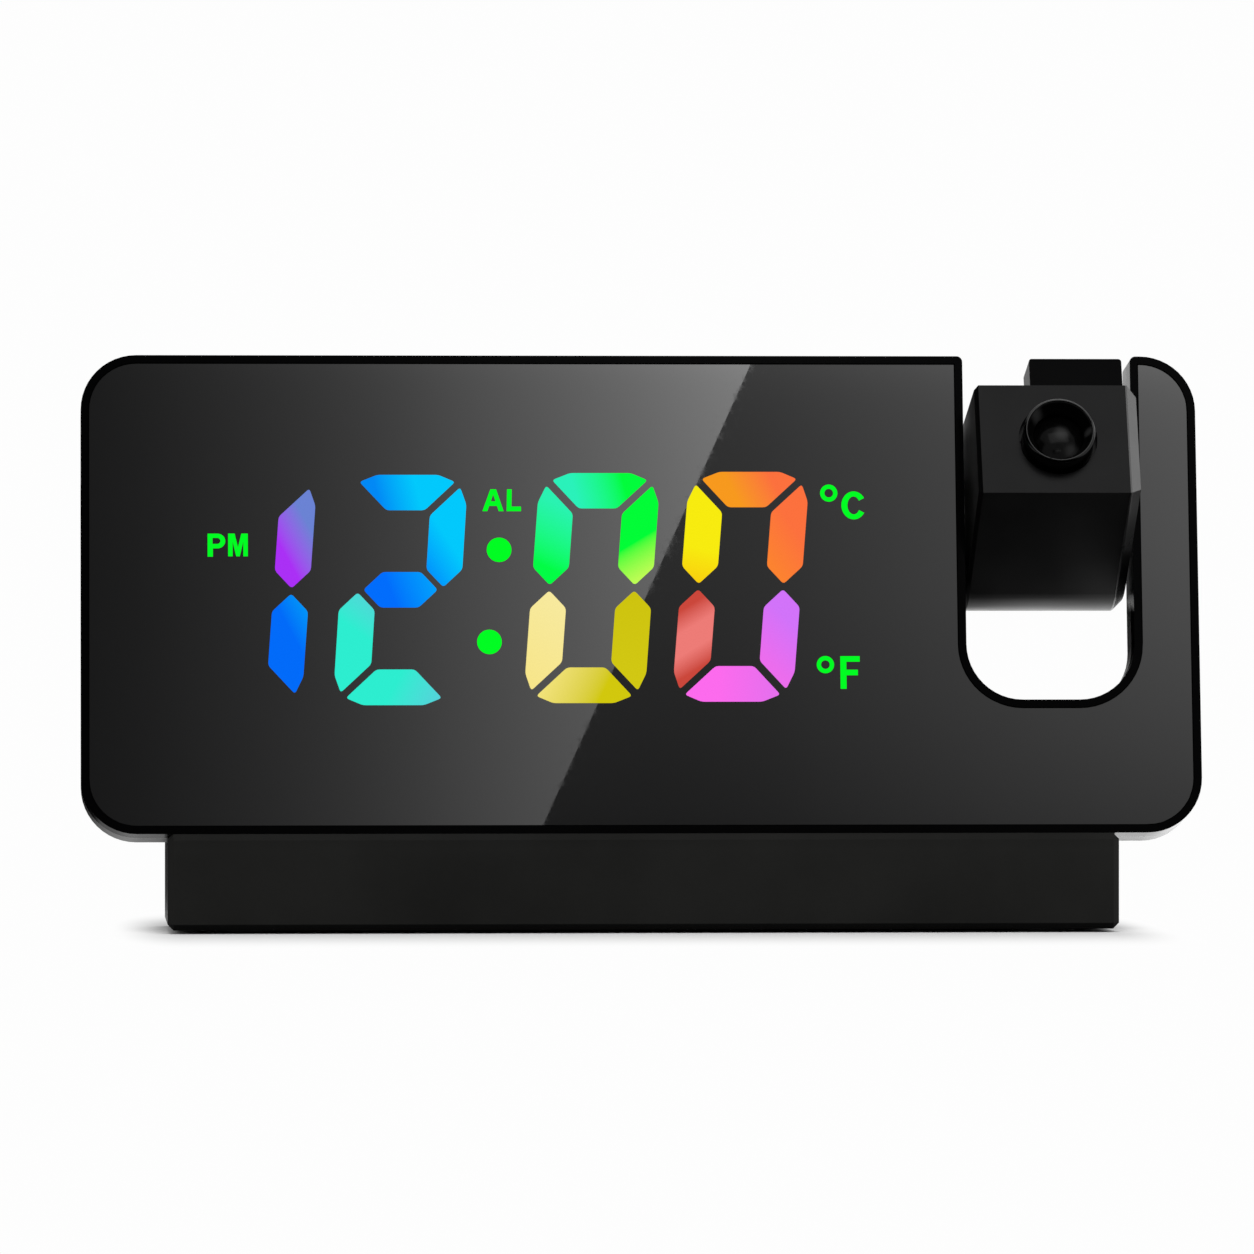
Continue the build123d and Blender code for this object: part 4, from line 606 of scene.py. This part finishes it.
# The finish of each material slot of the record. Plastics and glass are given their name, tone,
# roughness and specular level, metals their name, tone and roughness.
FINISHES = {
    "frame_gloss": polished("frame gloss", (0.0004, 0.0004, 0.0005), 0.14, 0.015),
    "smoked_mirror": polished("smoked mirror", (0.0035, 0.0035, 0.0036), 0.004, 0.5, 12.0, depth=0.002),
    "case_black": moulded("case black", (0.0060, 0.0060, 0.0062), 0.28, 0.28),
    "base_black": base_plastic("base black", (0.0115, 0.0115, 0.0109), 0.40, 0.025),
    "arm_black": moulded("arm black", (0.0012, 0.0012, 0.0013), 0.30, 0.08, grain=6500.0),
    "thumb_black": moulded("thumb black", (0.0004, 0.0004, 0.0005), 0.30, 0.015, grain=6500.0),
    "barrel_black": barrel("barrel black"),
    "key_black": moulded("key black", (0.016, 0.016, 0.017), 0.36, 0.4, grain=7000.0),
    "mask_black": moulded("mask black", (0.006, 0.006, 0.006), 0.75, 0.2, grain=3000.0),
    "light_guide": milky("light guide"),
    "led_white": moulded("led package", (0.8, 0.78, 0.55), 0.3, 0.5, grain=4000.0),
    "circuit_board": board("circuit board"),
    "chip_black": moulded("chip black", (0.014, 0.014, 0.016), 0.5, 0.4, grain=4000.0, depth=0.03),
    "plated_steel": metal("plated steel", (0.72, 0.72, 0.74), 0.24, stretch=(1.0, 1.0, 14.0), grain=900.0),
    "tongue_white": moulded("tongue white", (0.72, 0.72, 0.7), 0.4, 0.45, grain=4500.0),
    "screw_steel": metal("zinc screw", (0.46, 0.47, 0.5), 0.34, stretch=(1.0, 9.0, 1.0), grain=1400.0),
    "foot_rubber": rubber("foot rubber"),
    "cell_skin": cell_skin("cell sleeve"),
    "hinge_nylon": moulded("hinge nylon", (0.52, 0.51, 0.47), 0.5, 0.35, grain=2400.0),
    "slide_glass": slide_glass("crystal slide"),
    "lens_glass": projector_lens("coated lens"),
    "lamp_board": metal("lamp board", (0.66, 0.67, 0.68), 0.42, stretch=(1.0, 1.0, 1.0), grain=1200.0),
}

# Nodes that are glossier than the rest of their slot
OWN_FINISHES = {
    "arm_cover": moulded("arm cover black", (0.0020, 0.0020, 0.0021), 0.28, 0.5, grain=6500.0),
}


def dress_frame():
    """Gives every CAD node the finish of its slot in the record, or its own."""
    slots = {row["node"]: row["material_slot"] for row in frame["record"]["subparts"]}
    for name, piece in frame["nodes"].items():
        piece.data.materials.clear()
        piece.data.materials.append(OWN_FINISHES.get(name, FINISHES[slots[name]]))


def soften_edges():
    """Rounds the sharp edges of the nodes in EDGES a little, so that they catch the light."""
    for name, width in EDGES.items():
        piece = frame["nodes"][name]
        weld = piece.modifiers.new("weld", "WELD")
        weld.merge_threshold = WELD_REACH * MM
        bevel = piece.modifiers.new("edges", "BEVEL")
        bevel.width = width * MM
        bevel.segments = EDGE_SEGMENTS
        bevel.limit_method = "ANGLE"
        bevel.angle_limit = radians(SHARP_ANGLE)
        bevel.use_clamp_overlap = True
        flat = piece.modifiers.new("normals", "WEIGHTED_NORMAL")
        flat.mode = "FACE_AREA"
        flat.keep_sharp = True


# ---------------------------------------------------------------- outlines


def segment(name, lean):
    """The outline of one segment about the middle of its leaning digit."""
    half_width, half_height, stroke = DIGIT_HALF_WIDTH, DIGIT_HALF_HEIGHT, DIGIT_STROKE
    step = DIGIT_GAP / 2**0.5
    cut = DIGIT_CORNER * CORNER_CUT
    shoulder = (step + stroke) / 2
    if name == "middle":
        half = stroke / 2
        tip = half_width - half - step
        points = [(-tip, 0), (half - tip, half), (tip - half, half)]
        points += [(tip, 0), (tip - half, -half), (half - tip, -half)]
    elif name in ("top", "bottom"):
        way = 1 if name == "top" else -1
        inner, outer = way * (half_height - stroke), way * half_height
        shoulder_up = way * (half_height - cut)
        points = [(-half_width + stroke + step, inner), (-half_width + cut + step, shoulder_up)]
        points += [(-half_width + DIGIT_CORNER, outer), (half_width - DIGIT_CORNER, outer)]
        points += [(half_width - cut - step, shoulder_up), (half_width - stroke - step, inner)]
    else:
        way = 1 if name.startswith("upper") else -1
        side = 1 if name.endswith("right") else -1
        inner, outer = side * (half_width - stroke), side * half_width
        points = [(inner, way * (half_height - stroke - step))]
        points += [(side * (half_width - cut), way * (half_height - cut - step))]
        points += [(outer, way * (half_height - DIGIT_CORNER)), (outer, way * shoulder)]
        points += [(side * (half_width - stroke / 2), way * step / 2), (inner, way * shoulder)]
    slope = tan(radians(lean))
    return [(x + y * slope, y) for x, y in points]


def rounded(points, steps=3):
    """The outline with its corners rounded in a few steps."""
    made = []
    count = len(points)
    for i, point in enumerate(points):
        here = Vector(point)
        before = Vector(points[i - 1]) - here
        after = Vector(points[(i + 1) % count]) - here
        reach = min(SEGMENT_ROUND, before.length / 3, after.length / 3)
        start = here + before.normalized() * reach
        end = here + after.normalized() * reach
        for k in range(steps + 1):
            far = k / steps
            near = 1 - far
            made.append(start * near**2 + here * 2 * far * near + end * far**2)
    return made


def arc(middle, reach, start, end, steps=14):
    """Points on an ellipse's arc, angles in degrees."""
    turns = [radians(start + (end - start) * i / steps) for i in range(steps + 1)]
    return [(middle[0] + reach[0] * cos(turn), middle[1] + reach[1] * sin(turn)) for turn in turns]


def circle(radius, steps=40):
    """Points on a circle about the origin."""
    turns = [2 * pi * i / steps for i in range(steps)]
    return [Vector((radius * cos(turn), radius * sin(turn))) for turn in turns]


def bar(left, low, right, high):
    """A rectangle between two opposite corners."""
    return [(left, low), (right, low), (right, high), (left, high)]


def glyph(text):
    """The loops of a bold P, M, A, L, C or F in a box one wide and one high."""
    if text == "P":
        bowl = arc((0.56, 0.68), (0.44, 0.32), -90, 90)
        eye = arc((0.54, 0.685), (0.18, 0.13), -90, 90)
        body = [(0, 0), (0.3, 0), (0.3, 0.36), *bowl, (0, 1)]
        return [body, [(0.28, 0.555), *eye, (0.28, 0.815)]]
    if text == "M":
        left = [(0, 0), (0, 1), (0.33, 1), (0.5, 0.4)]
        right = [(0.67, 1), (1, 1), (1, 0), (0.77, 0), (0.77, 0.64)]
        return [left + right + [(0.59, 0), (0.41, 0), (0.23, 0.64), (0.23, 0)]]
    if text == "A":
        outside = [(0, 0), (0.38, 1), (0.65, 1), (1, 0), (0.77, 0), (0.69, 0.24)]
        eye = [(0.4, 0.45), (0.62, 0.45), (0.51, 0.77)]
        return [outside + [(0.32, 0.24), (0.23, 0)], eye]
    if text == "L":
        return [[(0, 0), (0.04, 1), (0.37, 1), (0.34, 0.21), (1, 0.21), (1, 0)]]
    if text == "C":
        outside = arc((0.5, 0.5), (0.5, 0.5), 32, 328, 28)
        return [outside + arc((0.5, 0.5), (0.254, 0.32), 328, 32, 28)]
    top = [(0, 0), (0, 1), (1, 1), (1, 0.83), (0.31, 0.83), (0.31, 0.585)]
    return [top + [(0.9, 0.585), (0.9, 0.415), (0.31, 0.415), (0.31, 0)]]


# ---------------------------------------------------------------- display and printed signs


def shown(name, data):
    """A new object in the scene."""
    piece = bpy.data.objects.new(name, data)
    bpy.context.scene.collection.objects.link(piece)
    return piece


def thicken(made, height):
    """Raises a flat mesh into a thin plate."""
    grown = bmesh.ops.extrude_face_region(made, geom=made.faces[:])
    raised = [v for v in grown["geom"] if isinstance(v, bmesh.types.BMVert)]
    bmesh.ops.translate(made, verts=raised, vec=(0, 0, height * MM))
    bmesh.ops.recalc_face_normals(made, faces=made.faces[:])


def plate(name, loops, place, height, material):
    """A thin plate on the case: each loop is an outline, or a hole in the one that it lies in."""
    mesh = bpy.data.meshes.new(name)
    made = bmesh.new()
    edges = []
    for loop in loops:
        corners = [made.verts.new((p[0] * MM, p[1] * MM, 0.0)) for p in loop]
        edges += [made.edges.new((corners[i - 1], corners[i])) for i in range(len(corners))]
    bmesh.ops.triangle_fill(made, edges=edges, use_beauty=True, normal=(0, 0, 1))
    thicken(made, height)
    made.to_mesh(mesh)
    made.free()
    piece = shown(name, mesh)
    piece.data.materials.append(material)
    piece.matrix_world = place
    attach(piece, "case")


def window(name, loops, centre, material):
    """A lit window seen on the mirror."""
    place = PANEL @ Matrix.Translation(Vector((*centre, MIRROR_FRONT - PLATE_SINK)) * MM)
    plate(name, loops, place, GLOW_THICKNESS + PLATE_SINK, material)


def letter(name, text, centre, size, material):
    """One bold capital of the display: its middle at centre, filling a box of the given size."""
    loops = [[((x - 0.5) * size[0], (y - 0.5) * size[1]) for x, y in loop] for loop in glyph(text)]
    window(name, loops, centre, material)


def display():
    """Every lit window of the clock at twelve o'clock, with its legends."""
    for digit, parts in LIT.items():
        centre, lean = DIGITS[digit]
        for part, look in parts.items():
            name = f"glow_{digit}_{part}"
            window(name, [rounded(segment(part, lean))], centre, glowing(name, *look))
    green = glowing("glow green", (GREEN, GREEN), (0.0, 1.0), EVEN_REACH)
    for name, centre in COLON_PLACES.items():
        window(name, [circle(COLON_RADIUS)], centre, green)
    for name, (text, centre, size) in LEGENDS.items():
        letter(f"glow_{name}", text, centre, size, green)
    for name, centre in DEGREES.items():
        ring = [circle(DEGREE_RADIUS), circle(DEGREE_RADIUS - DEGREE_STROKE)]
        window(f"glow_{name}", ring, centre, green)


def key_signs():
    """Outlines of the plain signs of the five keys, each about its own middle."""
    dome = arc((0, 0.1), (0.75, 0.95), 0, 180)
    bell = dome + [(-0.75, -0.35), (-1.1, -0.75), (1.1, -0.75), (0.75, -0.35)]
    clapper = arc((0, -0.95), (0.3, 0.16), 180, 360)
    beam = [(-0.35, 0.3), (1.3, 0.95), (1.3, -0.95), (-0.35, -0.3)]
    lens = [(x - 0.95, y) for x, y in circle(0.5, 24)]
    return {
        "mode": [bar(-1.0, y - 0.16, 1.0, y + 0.16) for y in (-0.7, 0.0, 0.7)],
        "up": [[(-1.1, -0.75), (1.1, -0.75), (0, 0.95)]],
        "down": [[(-1.1, 0.75), (0, -0.95), (1.1, 0.75)]],
        "alarm": [bell, clapper],
        "projector": [beam, lens],
    }


def key_marks():
    """The signs, printed on the back above their keys and read from behind."""
    ink = moulded("printed grey", (0.30, 0.30, 0.30), 0.6, 0.2, grain=9000.0, depth=0.004)
    about = Matrix.Rotation(pi, 4, "Y")
    for key, loops in key_signs().items():
        low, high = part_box(f"{key}_key")
        middle = Vector(((low.x + high.x) / 2 / MM, MARK_UP, HOUSING_BACK + PLATE_SINK))
        place = PANEL @ Matrix.Translation(middle * MM) @ about
        plate(f"mark_{key}", loops, place, MARK_THICKNESS + PLATE_SINK, ink)


# ---------------------------------------------------------------- stage


def only_reflected(piece):
    """Marks a card as staging that the camera, the diffuse light and the shadows don't see."""
    piece.visible_camera = False
    piece.visible_diffuse = False
    piece.visible_shadow = False
    piece.visible_transmission = False


def mirrored(x, up):
    """Where the ray from the eye to a point of the mirror meets the plane of the light cards."""
    point = PANEL @ (Vector((x, up, MIRROR_FRONT)) * MM)
    ray = (point - EYE).normalized()
    ray -= 2 * ray.dot(PANEL_OUT) * PANEL_OUT
    return point + ray * ((-CARD_DISTANCE - point.y) / ray.y)


def edge_x(up):
    """Place across the mirror of the edge between the two light cards, at one height."""
    share = (up - EDGE_LOW[1]) / (EDGE_HIGH[1] - EDGE_LOW[1])
    return EDGE_LOW[0] + share * (EDGE_HIGH[0] - EDGE_LOW[0])


def card_light(name, across_stops, up_stops):
    """Emission that is the product of one curve across the mirror and one up it."""
    material, tree = bare(name)
    spot = put(tree, "ShaderNodeUVMap", uv_map="mirror")
    axes = put(tree, "ShaderNodeSeparateXYZ")
    join(tree, spot, "UV", axes, "Vector")
    curves = []
    for axis, stops in (("X", across_stops), ("Y", up_stops)):
        curve = put(tree, "ShaderNodeFloatCurve")
        points = curve.mapping.curves[0].points
        while len(points) < len(stops):
            points.new(0.5, 0.5)
        for point, (at, value) in zip(points, stops):
            point.location = (at, value)
            point.handle_type = "AUTO_CLAMPED"
        curve.mapping.update()
        join(tree, axes, axis, curve, "Value")
        curves.append((curve, "Value"))
    level = combined(tree, "MULTIPLY", *curves)
    strong = combined(tree, "MULTIPLY", (level, "Value"), CARD_STRENGTH)
    shine = put(tree, "ShaderNodeEmission")
    join(tree, strong, "Value", shine, "Strength")
    surface(tree, shine, "Emission")
    return material


def light_card(name, left, right, across_stops, up_stops):
    """A soft light behind the camera that only reflections see, laid out as the mirror shows it.

    left and right give its side edges on the mirror at each height. Its UV runs over the mirror,
    so that its two curves read as places there."""
    low, high = CARD_HEIGHTS
    made = bmesh.new()
    layer = made.loops.layers.uv.new("mirror")
    grid = []
    for j in range(CARD_ROWS + 1):
        up = low + (high - low) * j / CARD_ROWS
        start, end = left(up), right(up)
        line = []
        for i in range(CARD_COLUMNS + 1):
            x = start + (end - start) * i / CARD_COLUMNS
            spot = (x / MIRROR_SPAN[0] + 0.5, up / MIRROR_SPAN[1])
            line.append((made.verts.new(mirrored(x, up)), spot))
        grid.append(line)
    for below, above in zip(grid, grid[1:]):
        for i in range(CARD_COLUMNS):
            ring = [below[i], below[i + 1], above[i + 1], above[i]]
            face = made.faces.new([corner for corner, _ in ring])
            for loop, (_, spot) in zip(face.loops, ring):
                loop[layer].uv = spot
    mesh = bpy.data.meshes.new(name)
    made.to_mesh(mesh)
    made.free()
    piece = shown(name, mesh)
    piece.data.materials.append(card_light(name, across_stops, up_stops))
    only_reflected(piece)


def plain_card(name, middle, facing, width, height, strength):
    """A flat evenly lit or black card that only reflections see."""
    mesh = bpy.data.meshes.new(name)
    made = bmesh.new()
    bmesh.ops.create_grid(made, x_segments=1, y_segments=1, size=0.5)
    made.to_mesh(mesh)
    made.free()
    piece = shown(name, mesh)
    spot = Vector(middle)
    turn = (Vector(facing) - spot).to_track_quat("Z", "Y").to_matrix().to_4x4()
    size = Matrix.Diagonal((width, height, 1.0, 1.0))
    piece.matrix_world = Matrix.Translation(spot) @ turn @ size
    material, tree = bare(name)
    shine = put(tree, "ShaderNodeEmission", Strength=strength)
    surface(tree, shine, "Emission")
    piece.data.materials.append(material)
    only_reflected(piece)


def cards():
    """Every card that the mirror and the glossy edges reflect."""
    light_card("left reflection", lambda up: CARD_LEFT, edge_x, LEFT_ACROSS, LEFT_UP)
    light_card("right reflection", edge_x, lambda up: CARD_RIGHT, RIGHT_ACROSS, RIGHT_UP)
    for name, placing in PLAIN_CARDS.items():
        plain_card(name, *placing)
    for name, (middle, width, depth, strength) in LYING_CARDS.items():
        above = (middle[0], middle[1], 1.0)
        plain_card(name, middle, above, width, depth, strength)


def foot_distance(tree, place):
    """Stretched distance of a point of the floor from the rectangle under the base."""
    local = vector_step(tree, "SUBTRACT", place, "Object", FOOT_MIDDLE)
    folded = vector_step(tree, "ABSOLUTE", local, "Vector")
    past = vector_step(tree, "SUBTRACT", folded, "Vector", FOOT_HALF)
    outside = vector_step(tree, "MAXIMUM", past, "Vector", (0.0, 0.0, 0.0))
    stretched = vector_step(tree, "MULTIPLY", outside, "Vector", FLOOR_STRETCH)
    return vector_step(tree, "LENGTH", stretched, "Vector")


def floor():
    """Pale floor that keeps the clock's shadow and fades into the surroundings."""
    mesh = bpy.data.meshes.new("floor")
    made = bmesh.new()
    bmesh.ops.create_circle(made, cap_ends=True, segments=FLOOR_SIDES, radius=FLOOR_RADIUS)
    made.to_mesh(mesh)
    made.free()
    piece = shown("floor", mesh)
    material, tree = bare("floor")
    place = put(tree, "ShaderNodeTexCoord")
    fade = ranged(tree, foot_distance(tree, place), "Value", 0.0, 1.0, FLOOR_FADE)
    fade.interpolation_type = "SMOOTHSTEP"
    paper = noise(tree, place, scale=700.0, detail=4.0)
    stops = [(0.3, grey(FLOOR_TONE - FLOOR_GRAIN)), (0.7, grey(FLOOR_TONE))]
    tone = ramp(tree, paper, "Fac", stops)
    matt = put(tree, "ShaderNodeBsdfDiffuse")
    join(tree, tone, "Color", matt, "Color")
    plain = put(tree, "ShaderNodeEmission", Strength=WHITE)
    mixed = put(tree, "ShaderNodeMixShader")
    join(tree, fade, "Result", mixed, 0)
    join(tree, matt, "BSDF", mixed, 1)
    join(tree, plain, "Emission", mixed, 2)
    surface(tree, mixed, "Shader")
    piece.data.materials.append(material)


def surroundings():
    """White round the clock for the camera, reflections and glass, and soft light otherwise."""
    world = bpy.data.worlds.new("studio")
    bpy.context.scene.world = world
    world.use_nodes = True
    tree = world.node_tree
    tree.nodes.clear()
    path = put(tree, "ShaderNodeLightPath")
    seen = combined(tree, "MAXIMUM", (path, "Is Camera Ray"), (path, "Is Glossy Ray"))
    either = combined(tree, "MAXIMUM", (seen, "Value"), (path, "Is Transmission Ray"))
    level = ranged(tree, either, "Value", SOFT_LIGHT, WHITE, (0.0, 1.0))
    light = put(tree, "ShaderNodeBackground", Color=grey(1.0))
    join(tree, level, "Result", light, "Strength")
    output = put(tree, "ShaderNodeOutputWorld")
    join(tree, light, "Background", output, "Surface")


def aim(piece, spot):
    """Sets a lamp or the camera in its place, looking at the clock."""
    piece.location = spot
    piece.rotation_mode = "QUATERNION"
    piece.rotation_quaternion = (LOOK_AT - Vector(spot)).to_track_quat("-Z", "Y")


def lamps():
    """The soft lamps, which reflections don't show."""
    for name, (spot, width, height, power) in LAMPS.items():
        light = bpy.data.lights.new(name, "AREA")
        light.shape = "RECTANGLE"
        light.size = width
        light.size_y = height
        light.energy = power
        piece = shown(name, light)
        aim(piece, spot)
        piece.visible_glossy = False


def camera():
    """The camera, level with the clock and a little to its left."""
    lens = bpy.data.cameras.new("camera")
    lens.lens = FOCAL_LENGTH
    lens.sensor_width = SENSOR
    lens.clip_start, lens.clip_end = CLIP
    piece = shown("camera", lens)
    aim(piece, EYE)
    bpy.context.scene.camera = piece


# ---------------------------------------------------------------- the whole

dress_frame()
soften_edges()
display()
key_marks()
floor()
surroundings()
cards()
lamps()
camera()

bpy.context.scene.view_settings.view_transform = "Standard"
bpy.context.view_layer.update()
